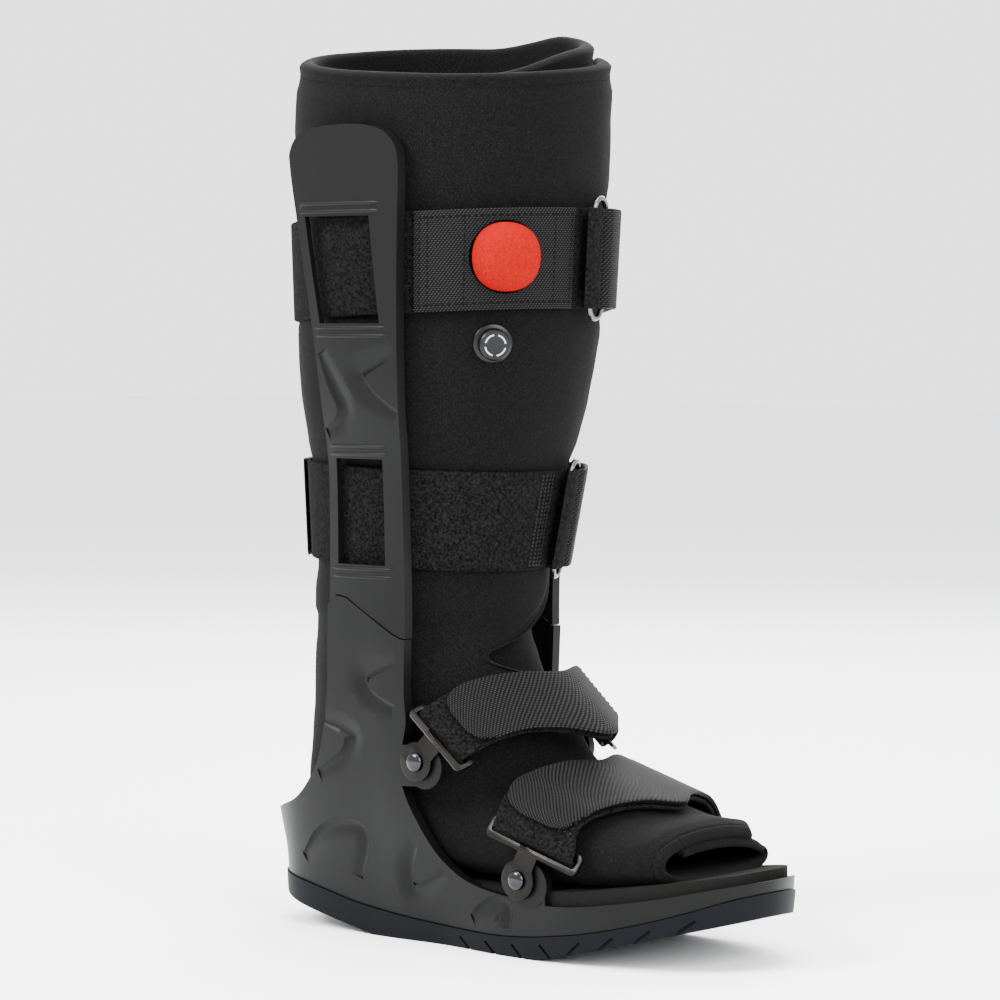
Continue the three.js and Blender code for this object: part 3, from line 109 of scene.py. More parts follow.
# Heights along the sole: shares of the heel's rocker, of the toe's and of the edge's height.
SOLE_LINE = table(("at", "heel", "toe", "edge"), [
    (-1.05, 1.75, 0, 0.93), (-0.97, 1.40, 0, 0.92), (-0.87, 1.10, 0, 0.90), (-0.75, 0.80, 0, 0.84),
    (-0.62, 0.50, 0, 0.71), (-0.50, 0.22, 0, 0.57), (-0.40, 0, 0, 0.49), (-0.10, 0, 0, 0.35),
    (0.15, 0, 0, 0.335), (0.30, 0, 0, 0.39), (0.40, 0, 0.10, 0.46), (0.52, 0, 0.26, 0.56),
    (0.70, 0, 0.52, 0.78), (0.86, 0, 0.76, 1.04), (0.97, 0, 0.93, 1.26), (1.05, 0, 1.10, 1.38),
])
FOOTBED_LINE = [(-1.05, 0), (0, 0), (0.27, 0.06), (0.5, 0.28), (0.7, 0.6), (0.9, 0.95), (1.05, 1.2)]

# The shell's upper edge, x in shares of half the sole's length and z of the ankle's height.
FRONT_EDGE = [
    (1.050, 0.285), (0.970, 0.272), (0.719, 0.220), (0.411, 0.180), (0.226, 0.190), (0.069, 0.212),
    (-0.013, 0.243), (-0.089, 0.300), (-0.164, 0.400), (-0.213, 0.487), (-0.231, 0.560),
    (-0.216, 0.640), (-0.198, 0.720), (-0.203, 0.800), (-0.200, 0.950), (-0.195, 1.200),
]
BACK_EDGE = [
    (-0.527, 1.200), (-0.539, 1.000), (-0.555, 0.770), (-0.606, 0.580), (-0.650, 0.513),
    (-0.740, 0.433), (-0.880, 0.385), (-0.980, 0.357), (-1.100, 0.345),
]
SEAM = [
    (-0.2, 0.72), (0.0, 0.76), (0.10, 1.0), (0.25, 0.95), (0.86, 0.03), (0.97, -0.08), (1.2, -0.1),
]

# Chevrons pressed into shell and uprights, and the side on which each is sharp.
SHELL_GROOVES = [
    (1, [(-0.236, 0.925), (-0.349, 0.895), (-0.401, 0.865), (-0.375, 0.800), (-0.252, 0.750)]),
    (-1, [(-0.575, 0.715), (-0.493, 0.700), (-0.432, 0.665), (-0.462, 0.590), (-0.606, 0.515)]),
    (1, [(-0.719, 0.225), (-0.616, 0.310), (-0.503, 0.345), (-0.437, 0.335), (-0.473, 0.190)]),
    (1, [(-0.195, 0.325), (-0.241, 0.255), (-0.247, 0.165), (-0.200, 0.155), (-0.062, 0.225)]),
    (1, [(0.046, 0.095), (0.123, 0.135), (0.190, 0.150), (0.195, 0.090)]),
]
UPRIGHT_GROOVES = [
    (-1, [(0.10, 0.725), (0.22, 0.690), (0.35, 0.655), (0.27, 0.635), (0.04, 0.622)]),
    (1, [(0.96, 0.728), (0.70, 0.716), (0.48, 0.700), (0.62, 0.672), (0.97, 0.645)]),
]
EARS = {
    "ankle": {"x": -0.144, "z": 0.598, "reach": 0.025, "root_x": -2, "root_z": -0.1},
    "forefoot": {"x": 0.272, "z": 0.253, "reach": 0.035, "root_x": 0, "root_z": -0.9},
}

# Side outline of the uprights: shares of their height and of the calf's depth.
UPRIGHT_EDGES = table(("at", "back", "front"), [
    (0.33, -0.169, 0.140), (0.425, -0.169, 0.140), (0.47, -0.162, 0.142), (0.59, -0.143, 0.156),
    (0.67, -0.144, 0.172), (0.75, -0.160, 0.184), (0.87, -0.205, 0.198), (0.95, -0.238, 0.206),
    (1.02, -0.252, 0.210),
])
WINDOWS = table(("rise", "back", "front_low", "front_high"), [
    (0.209, 6, 11, 11), (0.622, 6, 10, 17),
])
CALF_STRAPS = {
    "lower": {"rise": 0.209, "ring": 21, "tab": 214, "lift": -2.5, "slope": -0.03},
    "upper": {"rise": 0.622, "ring": 9.5, "tab": 190, "lift": 2, "slope": 0.045},
}
FOOT_STRAPS = {
    "ankle": table(("side", "leg_x", "leg_z", "toe_x", "toe_z"), [
        (1.15, -0.137, 1.281, 0.041, 1.034), (0.95, -0.089, 1.360, 0.089, 1.101),
        (0.68, -0.021, 1.416, 0.158, 1.152), (0.35, 0.051, 1.433, 0.240, 1.146),
        (0.00, 0.094, 1.421, 0.315, 1.101),
    ]),
    "forefoot": table(("side", "leg_x", "leg_z", "toe_x", "toe_z"), [
        (1.17, 0.178, 0.730, 0.500, 0.573), (1.04, 0.182, 0.843, 0.486, 0.697),
        (0.74, 0.195, 0.904, 0.507, 0.753), (0.38, 0.240, 0.944, 0.562, 0.775),
        (0.00, 0.281, 0.938, 0.626, 0.753),
    ]),
}


def length(name, millimetres, words):
    return FloatProperty(name=name, default=millimetres * MM, unit="LENGTH", precision=4,
                         description=words)


def colour(name, code, words):
    """A colour setting whose default is an sRGB hex value, turned to linear."""
    return FloatVectorProperty(name=name, subtype="COLOR", size=4, min=0, max=1,
                               default=linear(code), description=words)


def linear(code):
    parts = [int(code[k:k + 2], 16) / 255 for k in (1, 3, 5)]
    return (*[p / 12.92 if p <= 0.04045 else ((p + 0.055) / 1.055) ** 2.4 for p in parts], 1.0)


class BOOT_PG_sizes(bpy.types.PropertyGroup):
    """The driving sizes of the boot."""
    sole_length: length("Sole length", 292, "Length of the sole")
    sole_width: length("Sole width", 112, "Width of the sole at the ball")
    heel_width: length("Heel width", 92, "Width of the sole at the heel")
    heel_rocker: length("Heel rocker", 13, "How far the sole curves up at the heel")
    toe_rocker: length("Toe rocker", 25, "How far the sole curves up at the toes")
    sole_edge: length("Sole edge", 27, "Height of the outsole's upper edge")
    outsole_lip: length("Outsole lip", 0.9, "How far the rubber stands proud of the shell")
    shell_wall: length("Shell wall", 3, "Wall of the shell")
    footbed: length("Footbed", 31, "Height of the footbed")
    footbed_rise: length("Footbed rise", 13, "How far the footbed rises to the toes")
    leg_axis: length("Leg axis", -51, "Place of the leg's axis along the sole")
    ankle_height: length("Ankle height", 148, "Height of the ankle")
    boot_height: length("Boot height", 428, "Height of the liner's rim")
    rim_wave: length("Rim wave", 7, "How far the rim rises and falls")
    calf_depth: length("Calf depth", 156, "Depth of the liner at the calf")
    calf_width: length("Calf width", 134, "Width of the liner at the calf")
    liner_wall: length("Liner wall", 7.5, "Thickness of the padding")
    flap_gap: length("Flap gap", 0.8, "Gap between the two flaps")
    girth: length("Foot width", 92, "Width of the liner at the foot")
    instep: length("Instep", 88, "Height of the instep")
    upright_wall: length("Upright wall", 3, "Wall of the uprights")
    upright_room: length("Upright room", 6, "Room between uprights and liner")
    upright_bow: length("Upright bow", 1.6, "How far an upright bows across its width")
    upright_height: length("Upright height", 391, "Height of the uprights' tops")
    upright_corner: length("Upright corner", 20, "Radius of the uprights' upper corners")
    edge_lip: length("Edge lip", 3, "Width of the turned edge of shell and uprights")
    seam_rise: length("Seam rise", 18, "Rise of the seam between shell and upright")
    groove_width: length("Groove width", 13, "Width of a pressed chevron")
    groove_depth: length("Groove depth", 2.2, "Depth of a pressed chevron")
    clearance: length("Clearance", 0.4, "Gap between neighbouring pieces")
    strap_gap: length("Strap gap", 0.9, "Gap under a strap")
    loop_gap: length("Loop gap", 1.3, "Gap between a ring and the strap round it")
    strap_width: length("Strap width", 48, "Width of the calf straps")
    strap: length("Strap", 2.2, "Thickness of the straps")
    ring_width: length("Ring width", 14, "Width of a wire ring")
    ring_wire: length("Ring wire", 2.7, "Thickness of a ring's wire")
    ring_overhang: length("Ring overhang", 6, "How far a ring stands past the strap")
    plate: length("Plate", 1.8, "Thickness of a slot plate")
    plate_rail: length("Plate rail", 3.2, "Width of a slot plate's rail")
    plate_slot: length("Plate slot", 4.2, "Width of the slot")
    plate_tab: length("Plate tab", 9.5, "Radius of the plate's round tab")
    ear: length("Ear", 11, "Radius of the shell's ears")
    rivet: length("Rivet", 2.6, "Radius of a rivet's shank")
    rivet_head: length("Rivet head", 4.6, "Radius of a rivet's head")
    bulb: length("Bulb", 17, "Radius of the pump bulb")
    bulb_height: length("Bulb height", 12, "Height of the pump bulb")
    valve: length("Valve", 9.5, "Radius of the valve's base")
    knob: length("Knob", 7.6, "Radius of the valve's knob")
    knob_height: length("Knob height", 6, "Height of the valve's knob")


class BOOT_PG_colours(bpy.types.PropertyGroup):
    """The colours of the boot."""
    plastic: colour("Plastic", "#050505", "Moulded shell and uprights")
    rubber: colour("Rubber", "#07080a", "Outsole")
    foam: colour("Foam", "#0a0a09", "Footbed")
    neoprene: colour("Neoprene", "#040404", "Liner")
    loop_cloth: colour("Loop cloth", "#040404", "Brushed loop straps")
    twill: colour("Twill", "#060606", "Woven straps")
    bulb: colour("Bulb", "#7a0403", "Flocked pump bulb")
    valve: colour("Valve", "#070708", "Valve")
    wire: colour("Wire", "#5a5b5e", "Wire rings")
    steel: colour("Steel", "#1b1a19", "Slot plates")
    rivet: colour("Rivet", "#303033", "Rivet heads")
    mark: colour("Mark", "#8f8f8f", "Ring of marks on the valve")
    floor: colour("Floor", "#f4f5f7", "Floor and backdrop")


class Lengths:
    """The driving sizes in millimetres, read once when the first piece is made."""

    def __getattr__(self, name):
        return getattr(bpy.context.scene.boot_sizes, name) / MM


S = Lengths()
_made = {}


def once(key, make):
    """What make gives, made once for each key."""
    if key not in _made:
        _made[key] = make()
    return _made[key]


# Curves and sections


def curve_at(points, places, closed=False):
    """Points on a centripetal curve through the given ones, at places from 0 to 1."""
    p = np.array(points, float)
    n = len(p)
    if not closed:
        p = np.vstack([2 * p[0] - p[1], p, 2 * p[-1] - p[-2]])
    out = []
    for place in places:
        spot = (place % 1.0 if closed else min(max(place, 0), 1)) * (n if closed else n - 1)
        k = min(int(spot), n - 1 if closed else n - 2)
        t = spot - k
        a, b, c, d = [p[(k + i - 1) % n] if closed else p[k + i] for i in range(4)]
        g = [max(np.linalg.norm(v), 1e-9) ** 0.5 for v in (b - a, c - b, d - c)]
        m1 = ((b - a) / g[0] - (c - a) / (g[0] + g[1]) + (c - b) / g[1]) * g[1]
        m2 = ((c - b) / g[1] - (d - b) / (g[1] + g[2]) + (d - c) / g[2]) * g[1]
        out.append(b + m1 * t + (3 * (c - b) - 2 * m1 - m2) * t ** 2
                   + (2 * (b - c) + m1 + m2) * t ** 3)
    return np.array(out)


def smooth_line(points, count):
    return [tuple(q) for q in curve_at(points, np.linspace(0, 1, count))]


def between(rows, place):
    """Smooth values between the rows of a table, each row at its own place."""
    k = 0
    while k < len(rows) - 2 and place > rows[k + 1]["at"]:
        k += 1
    a, b = rows[k], rows[k + 1]
    span = b["at"] - a["at"]
    t = min(max((place - a["at"]) / span, 0), 1)

    def slope(low, high, key):
        return (high[key] - low[key]) / (high["at"] - low["at"])

    values = {}
    for key in a:
        middle = slope(a, b, key)
        start = (slope(rows[k - 1], a, key) + middle) / 2 if k > 0 else middle
        end = (slope(b, rows[k + 2], key) + middle) / 2 if k + 2 < len(rows) else middle
        bend = t * (1 - t) * span * ((1 - t) * (start - middle) - t * (end - middle))
        values[key] = a[key] + (b[key] - a[key]) * t + bend
    return values


# Places along the liner run from FOOT_END at the toes over 0 at the ankle to LEG_TOP at the rim.
FOOT_END = -len(FOOT_SECTIONS)
LEG_TOP = 10
# About how many millimetres one place measures at the toes.
FOOT_STEP = 12


class Sections:
    """The liner's sections, tabled finely so that many points are read at once."""

    KEYS = ("front_x", "front_z", "back_x", "back_z", "half", "square", "wall", "outer", "inner")

    def __init__(self):
        half_sole = S.sole_length / 2
        rise = S.boot_height - S.ankle_height
        rows = [dict(
            at=k + FOOT_END, front_x=r["top_x"] * half_sole, front_z=r["top_z"] * S.instep,
            back_x=r["sole_x"] * half_sole, back_z=r["sole_z"] * S.footbed,
            half=r["half"] * S.girth / 2, square=r["square"], wall=r["wall"] * S.liner_wall,
            outer=r["outer"], inner=r["inner"]) for k, r in enumerate(FOOT_SECTIONS)]
        rows += [dict(
            at=r["rise"] * LEG_TOP, front_x=S.leg_axis + r["front"] * S.calf_depth,
            front_z=S.ankle_height + r["rise"] * rise, back_x=S.leg_axis - r["back"] * S.calf_depth,
            back_z=S.ankle_height + r["rise"] * rise, half=r["half"] * S.calf_width / 2, square=2.2,
            wall=S.liner_wall, outer=r["outer"], inner=r["inner"]) for r in LEG_SECTIONS]
        self.places = np.linspace(FOOT_END, LEG_TOP, 600)
        dense = [between(rows, place) for place in self.places]
        self.values = {key: np.array([row[key] for row in dense]) for key in self.KEYS}

    def at(self, place):
        return {key: np.interp(place, self.places, self.values[key]) for key in self.KEYS}


def liner_point(section, degrees, level):
    """A point on the liner in a direction, at a level out from its face. Arrays are welcome."""
    turn = np.radians(degrees)
    reach_x = (section["front_x"] - section["back_x"]) / 2
    reach_z = (section["front_z"] - section["back_z"]) / 2
    reach = np.hypot(reach_x, reach_z)
    power = 2 / np.where(np.cos(turn) < 0, section["square"], 2.15)
    along = np.sign(np.cos(turn)) * np.abs(np.cos(turn)) ** power
    across = np.sign(np.sin(turn)) * np.abs(np.sin(turn)) ** power
    slope_along, slope_across = along / reach, across / section["half"]
    size = np.hypot(slope_along, slope_across)
    ahead = along * reach + level * slope_along / size
    aside = across * section["half"] + level * slope_across / size
    return np.stack(np.broadcast_arrays(
        (section["front_x"] + section["back_x"]) / 2 + ahead * reach_x / reach,
        aside,
        (section["front_z"] + section["back_z"]) / 2 + ahead * reach_z / reach), axis=-1)


def liner_at(place):
    return once("sections", Sections).at(place)


def leg_place(height):
    return (height - S.ankle_height) / (S.boot_height - S.ankle_height) * LEG_TOP


def leg_point(height, degrees, level):
    section = liner_at(leg_place(height))
    section["front_z"] = section["back_z"] = height
    return liner_point(section, degrees, level)


def leg_half(height):
    return float(liner_at(leg_place(height))["half"])


def up_the_leg(rise):
    """The height at a share of the way from ankle to rim."""
    return S.ankle_height + rise * (S.boot_height - S.ankle_height)


def upright_half(height):
    return leg_half(height) + S.upright_room + S.upright_wall


def upright_edges(height):
    row = between(UPRIGHT_EDGES, height / S.upright_height)
    return S.leg_axis + row["back"] * S.calf_depth, S.leg_axis + row["front"] * S.calf_depth


# Meshes


def mesh_of(points, faces, name="piece", uv=None):
    """A mesh from points in millimetres."""
    mesh = bpy.data.meshes.new(name)
    mesh.from_pydata((np.asarray(points, float) * MM).tolist(), [], [list(f) for f in faces])
    if uv is not None:
        layer = mesh.uv_layers.new(name="UVMap")
        index = np.empty(len(mesh.loops), int)
        mesh.loops.foreach_get("vertex_index", index)
        layer.data.foreach_set("uv", np.asarray(uv, float)[index].ravel())
    mesh.validate()
    return mesh


def outward(mesh):
    """Turns all faces of a closed mesh outwards."""
    work = bmesh.new()
    work.from_mesh(mesh)
    bmesh.ops.recalc_face_normals(work, faces=work.faces)
    if work.calc_volume(signed=True) < 0:
        bmesh.ops.reverse_faces(work, faces=work.faces)
    work.to_mesh(mesh)
    work.free()
    return mesh


def loft(rings, uv=None, name="loft"):
    """Joins rings of points into a closed mesh, its ends closed by strips."""
    rings = np.asarray(rings, float)
    rows, count = rings.shape[:2]
    faces = []
    for i in range(rows - 1):
        for j in range(count):
            k = (j + 1) % count
            faces.append((i * count + j, i * count + k, (i + 1) * count + k, (i + 1) * count + j))
    last = (rows - 1) * count
    for j in range(count // 2 - 1):
        a, b, c, d = j, j + 1, count - 2 - j, count - 1 - j
        faces += [(d, c, b, a), (last + a, last + b, last + c, last + d)]
    flat = None if uv is None else np.asarray(uv, float).reshape(-1, 2)
    return outward(mesh_of(rings.reshape(-1, 3), faces, name, flat))


# How far cutting shapes reach across the boot, along it and up, past every piece.
ASIDE = 130
ALONG = 300
ABOVE = 500


def prism(outline, low=-ASIDE, high=ASIDE):
    """Extrudes an outline, given as x and z, across the boot."""
    n = len(outline)
    points = [(x, low, z) for x, z in outline] + [(x, high, z) for x, z in outline]
    faces = [tuple(range(n)), tuple(range(2 * n - 1, n - 1, -1))]
    faces += [(k, k + n, (k + 1) % n + n, (k + 1) % n) for k in range(n)]
    return outward(mesh_of(points, faces))


def side_of(line, k):
    """The unit direction to the left of a line in x and z, at one of its points."""
    ax, az = line[max(k - 1, 0)]
    bx, bz = line[min(k + 1, len(line) - 1)]
    size = math.hypot(bx - ax, bz - az)
    return -(bz - az) / size, (bx - ax) / size


def ribbon(points, width, side=0.0):
    """The outline of a line drawn with a flat pen."""
    left, right = [], []
    for k, (x, z) in enumerate(points):
        nx, nz = side_of(points, k)
        left.append((x + nx * width * (side + 1) / 2, z + nz * width * (side + 1) / 2))
        right.insert(0, (x + nx * width * (side - 1) / 2, z + nz * width * (side - 1) / 2))
    return left + right


def combine(first, second, operation):
    """Joins or cuts two closed meshes."""
    a = bpy.data.objects.new("work", first)
    b = bpy.data.objects.new("tool", second)
    for obj in (a, b):
        bpy.context.collection.objects.link(obj)
    cut = a.modifiers.new("cut", "BOOLEAN")
    cut.solver = "MANIFOLD"
    cut.operation = operation
    cut.object = b
    mesh = plain(a)
    bpy.data.objects.remove(b)
    if not mesh.polygons:
        raise RuntimeError("nothing is left of " + first.name)
    return mesh


def both_sides(mesh, tool, operation):
    """Joins or cuts a mesh with a tool and with the tool's mirror image."""
    return combine(combine(mesh, mirrored(tool), operation), tool, operation)


def plain(obj):
    """The mesh of an object with its modifiers applied; the object goes."""
    bpy.context.view_layer.update()
    mesh = bpy.data.meshes.new_from_object(obj.evaluated_get(bpy.context.evaluated_depsgraph_get()))
    bpy.data.objects.remove(obj)
    return mesh


def mirrored(mesh):
    copy = mesh.copy()
    copy.transform(Matrix.Scale(-1, 4, (0, 1, 0)))
    copy.flip_normals()
    return copy


def turned(profile, sides, matrix=None):
    """A round body from radius and height, closed on its axis."""
    inner = [(r, h) for r, h in profile if r > 1e-6]
    n = len(inner)
    points = [(r * math.cos(2 * math.pi * s / sides), r * math.sin(2 * math.pi * s / sides), h)
              for s in range(sides) for r, h in inner]
    points += [(0, 0, profile[0][1]), (0, 0, profile[-1][1])]
    faces = []
    for s in range(sides):
        t = (s + 1) % sides
        faces += [(s * n + k, t * n + k, t * n + k + 1, s * n + k + 1) for k in range(n - 1)]
        faces += [(t * n, s * n, sides * n), (s * n + n - 1, t * n + n - 1, sides * n + 1)]
    mesh = outward(mesh_of(points, faces))
    if matrix is not None:
        mesh.transform(matrix)
    return mesh


def piece(name, mesh, finish, slot, angle=35, body="boot", extra=False):
    """Puts a finished mesh in the scene in place of its solid; an extra one replaces no solid."""
    mesh.name = name
    mesh.materials.clear()
    mesh.materials.append(finish_of(finish))
    mesh.shade_smooth()
    mesh.set_sharp_from_angle(angle=math.radians(angle))
    obj = bpy.data.objects.new(name + "_dressed", mesh)
    bpy.context.collection.objects.link(obj)
    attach(obj, body)
    if not extra:
        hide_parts(name)
    return obj


def pair(name, mesh, *look):
    """Puts a mesh on the right side and its mirror image on the left."""
    left = mirrored(mesh)
    piece(name + "_right", mesh, *look)
    piece(name + "_left", left, *look)


# Sole and shell


SHELL_POINTS = 208
SHELL_ROWS = 22


def shell_ring(row, inset):
    half_sole = S.sole_length / 2
    heel = row["heel_half"] * S.heel_width / 2
    upright = S.heel_width / 2 + row["lean"] * (upright_half(S.ankle_height) - S.heel_width / 2)
    half = S.sole_width / 2
    right = [
        (-row["heel"] + 0.045, 0.55 * heel), (-0.787, 0.95 * heel),
        (S.leg_axis / half_sole, upright),
        (-0.10, row["waist"] * half), (0.20, row["ball"] * half), (0.52, row["fore"] * half),
        (0.787, 0.82 * row["fore"] * half), (row["toe"] - 0.06, 0.50 * row["fore"] * half),
    ]
    stations = [(-row["heel"], 0), *right, (row["toe"], 0), *[(x, -y) for x, y in right[::-1]]]
    stations = [(x * half_sole, y, row["at"] * S.ankle_height) for x, y in stations]
    places = (np.arange(SHELL_POINTS) + 0.5) / SHELL_POINTS
    ring = curve_at(stations, places, closed=True)
    step = curve_at(stations, places + 1e-4, closed=True) - ring
    normal = np.stack([step[:, 1], -step[:, 0], np.zeros(SHELL_POINTS)], axis=1)
    return ring + inset * normal / np.linalg.norm(normal, axis=1)[:, None]


def shell_body(inset):
    """The solid inside the shell's outer face, moved in by an inset."""
    def make():
        ups = np.linspace(SHELL_LEVELS[0]["at"], SHELL_LEVELS[-1]["at"], SHELL_ROWS)
        return loft([shell_ring(between(SHELL_LEVELS, up), inset) for up in ups])

    return once(("shell_body", inset), make).copy()


def shell_tree():
    work = bmesh.new()
    work.from_mesh(shell_body(0))
    tree = BVHTree.FromBMesh(work)
    work.free()
    return tree


def shell_half(x, z):
    """The half width of the shell's outer face at a place, in millimetres."""
    outside = Vector((x * MM, -0.3, z * MM))
    hit = once("shell_tree", shell_tree).ray_cast(outside, Vector((0, 1, 0)))[0]
    return -hit.y / MM if hit else 0.0


def sole_line(which, lift=0.0, count=90):
    half_sole = S.sole_length / 2
    line = []
    for at in np.linspace(-1.05, 1.05, count):
        row = between(SOLE_LINE, at)
        low = row["heel"] * S.heel_rocker + row["toe"] * S.toe_rocker
        height = max(low, 0) if which == "low" else row["edge"] * S.sole_edge
        line.append((at * half_sole, height + lift))
    return line


def footbed_line(lift):
    return smooth_line([(x * S.sole_length / 2, S.footbed + share * S.footbed_rise + lift)
                        for x, share in FOOTBED_LINE], 60)


def side_line(rows, count=120):
    return smooth_line([(x * S.sole_length / 2, z * S.ankle_height) for x, z in rows], count)


def seam_line(lift):
    back, front = upright_edges(S.ankle_height)
    return [(back + across * (front - back), S.ankle_height + up * S.seam_rise + lift)
            for across, up in SEAM]


def ear_place(name):
    x, z = EARS[name]["x"] * S.sole_length / 2, EARS[name]["z"] * S.ankle_height
    return x, z, shell_half(x, z + S.plate_tab) + S.clearance


def along_y(radius, low, high, x, z):
    matrix = Matrix.Translation((x * MM, 0, z * MM)) @ Matrix.Rotation(math.radians(-90), 4, "X")
    return turned([(0, low), (radius, low), (radius, high), (0, high)], 48, matrix)


# Across a pressed chevron: shares of its width from the sharp side, and of its depth.
SCOOP = [(0.16, 0.88), (0.26, 1.0), (0.40, 0.82), (0.55, 0.52), (0.75, 0.22), (1.0, -0.03)]


def groove_cutter(line, face, sharp):
    """A wedge along a line on a side face: deep on its sharp side and running out on the other."""
    rings = []
    last = len(line) - 1
    for k, (x, z) in enumerate(line):
        nx, nz = [sharp * v for v in side_of(line, k)]
        fade = math.sin(math.pi * min(max(k / last, 0.04), 0.96)) ** 0.5
        width = S.groove_width * (0.4 + 0.6 * fade)
        near = (x + nx * width / 2, z + nz * width / 2)
        ring = [(near[0], -face(*near) - 0.25, near[1])]
        for away, depth in SCOOP:
            spot = (near[0] - nx * away * width, near[1] - nz * away * width)
            ring.append((spot[0], -face(*spot) + depth * S.groove_depth * fade, spot[1]))
        ring += [(spot[0], -face(*spot) - 4, spot[1]), (near[0], -face(*near) - 4, near[1])]
        ring += [(near[0], -face(*near) - 3 + 0.5 * k, near[1]) for k in range(5)]
        rings.append(ring)
    return loft(rings)


def make_shell():
    front = side_line(FRONT_EDGE)
    half = S.sole_length / 2
    profile = prism(sole_line("edge", S.clearance) + front + side_line(BACK_EDGE))
    room = prism(sole_line("edge", S.clearance + S.shell_wall) + [
        (1.2 * half, ABOVE), (-1.2 * half, ABOVE)])
    bed = combine(shell_body(S.shell_wall), prism(
        [(-1.2 * half, -5), (1.2 * half, -5)] + footbed_line(S.clearance)[::-1]), "INTERSECT")
    inside = combine(shell_body(S.shell_wall), room, "INTERSECT")
    shell = combine(combine(shell_body(0), profile, "INTERSECT"), inside, "DIFFERENCE")
    depth = S.upright_wall + S.upright_room - S.strap - S.strap_gap - S.clearance
    lip = prism(ribbon([q for q in front if q[0] < 0.07 * half], S.edge_lip, 1))
    skin = combine(shell_body(S.shell_wall / 2), shell_body(depth), "DIFFERENCE")
    lip = combine(combine(skin, lip, "INTERSECT"), profile.copy(), "INTERSECT")
    shell = combine(shell, combine(lip, bed.copy(), "DIFFERENCE"), "UNION")
    for name, ear in EARS.items():
        x, z, face = ear_place(name)
        centre, drop = x + ear["reach"] * half, z - 2
        boss = along_y(S.ear, -face, -face + S.shell_wall + 1, centre, drop)
        end = (centre + ear["root_x"] * S.ear, drop + ear["root_z"] * S.ear)
        root = prism(ribbon([(centre, drop), end], 1.8 * S.ear), -face, -face + S.shell_wall + 1)
        whole = combine(boss, combine(root, shell_body(0), "INTERSECT"), "UNION")
        whole = combine(whole, bed.copy(), "DIFFERENCE")
        shell = both_sides(shell, whole, "UNION")
        hole = along_y(S.rivet + S.clearance, -ALONG / 2, ALONG / 2, x, z)
        shell = combine(shell, hole, "DIFFERENCE")
    for sharp, groove in SHELL_GROOVES:
        cutter = groove_cutter(side_line(groove, 16), shell_half, sharp)
        shell = both_sides(shell, cutter, "DIFFERENCE")
    below = prism(seam_line(-0.5) + [(ALONG, -20), (-ALONG, -20)])
    return combine(shell, below, "INTERSECT")


def make_outsole():
    profile = prism(sole_line("low") + sole_line("edge")[::-1])
    return combine(shell_body(-S.outsole_lip), profile, "INTERSECT")


def make_footbed():
    line = sole_line("edge", S.shell_wall + 2 * S.clearance) + footbed_line(0)[::-1]
    bed = combine(shell_body(S.shell_wall + S.clearance), prism(line), "INTERSECT")
    end = 0.955 * S.sole_length / 2
    return combine(bed, prism([(-ALONG, -90), (end, -90), (end, 90), (-ALONG, 90)]), "INTERSECT")


# Liner

RIM_ROUND = [0, 0.04, 0.13, 0.29, 0.5, 0.75, 1.0]


def rounded_ends(low, high, start, end, middle):
    """Stations from low to high, close together within start and end of the two ends."""
    first = [low + start * r for r in RIM_ROUND]
    last = [high - end * r for r in RIM_ROUND[::-1]]
    return np.array(first + list(np.linspace(first[-1], last[0], middle + 2)[1:-1]) + last)


# Directions: where the wrap rises from under the outer flap, and where its stations meet.
RISE_FROM, RISE_TO = 66, 112
JOIN = 300


def make_liner():
    """The padded wrap: inner flap, round the back, and the outer flap on top, with rolled edges."""
    leg = (S.boot_height - S.ankle_height) / LEG_TOP
    radius = S.liner_wall / 2
    places = rounded_ends(FOOT_END, LEG_TOP, radius / FOOT_STEP, radius / leg, 150)
    rings, uvs, face = [], [], []
    for place in places:
        section = liner_at(place)
        wall = float(section["wall"])
        speed = math.radians(1) * float(section["half"]) * 1.05
        span = wall / 2 / speed
        fixed = rounded_ends(float(section["inner"]), JOIN, span, 0, 66)[:-len(RIM_ROUND)]
        loose = rounded_ends(JOIN, 360 + float(section["outer"]), 0, span, 34)[len(RIM_ROUND) - 1:]
        degrees = np.concatenate([fixed, loose])
        ends = np.minimum(degrees - degrees[0], degrees[-1] - degrees) * speed
        edge = min((LEG_TOP - place) * leg, (place - FOOT_END) * FOOT_STEP)
        r = wall / 2
        thick = np.sqrt(np.maximum(r * r - np.maximum(r - np.minimum(ends, edge), 0) ** 2, 1e-4))
        sunk = 1 - smooth_step(RISE_FROM, RISE_TO, degrees)
        level = -sunk * (wall + S.flap_gap) - r
        puff = padding(place, degrees, section, ends, edge)
        round_back = np.cos(np.radians(degrees - 130))
        wave = S.rim_wave * smooth_step(8, LEG_TOP, place) * (
            1.5 * round_back - 0.5 + 1.2 * sunk * smooth_step(-44, 12, degrees))
        out = liner_point(section, degrees, level + thick + puff)
        inner = liner_point(section, degrees, level - thick)
        out[:, 2] += wave
        inner[:, 2] += wave
        rings.append(np.vstack([out, inner[::-1]]))
        facing = liner_point(section, degrees, 1) - liner_point(section, degrees, 0)
        face.append((place, ends, out, facing))
        width = np.minimum(ends, 60)
        uvs.append(np.vstack([np.stack([width, np.full_like(width, edge)], 1)] * 2))
    return loft(rings, uvs, "liner"), face


def liner_seams(face, away):
    """Paths for the stitches round the rim and down the free edge, so far from the edge."""
    leg = (S.boot_height - S.ankle_height) / LEG_TOP
    _, ends, out, facing = min(face, key=lambda row: abs(row[0] - (LEG_TOP - away / leg)))
    inside = ends > away
    rim = list(zip(out[inside], facing[inside]))
    down = []
    for place, ends, out, facing in face:
        last = len(ends) // 2 + int(np.argmin(np.abs(ends[len(ends) // 2:] - away)))
        if FOOT_END + 0.6 < place < LEG_TOP - away / leg:
            down.append((out[last], facing[last]))
    return [rim, down]


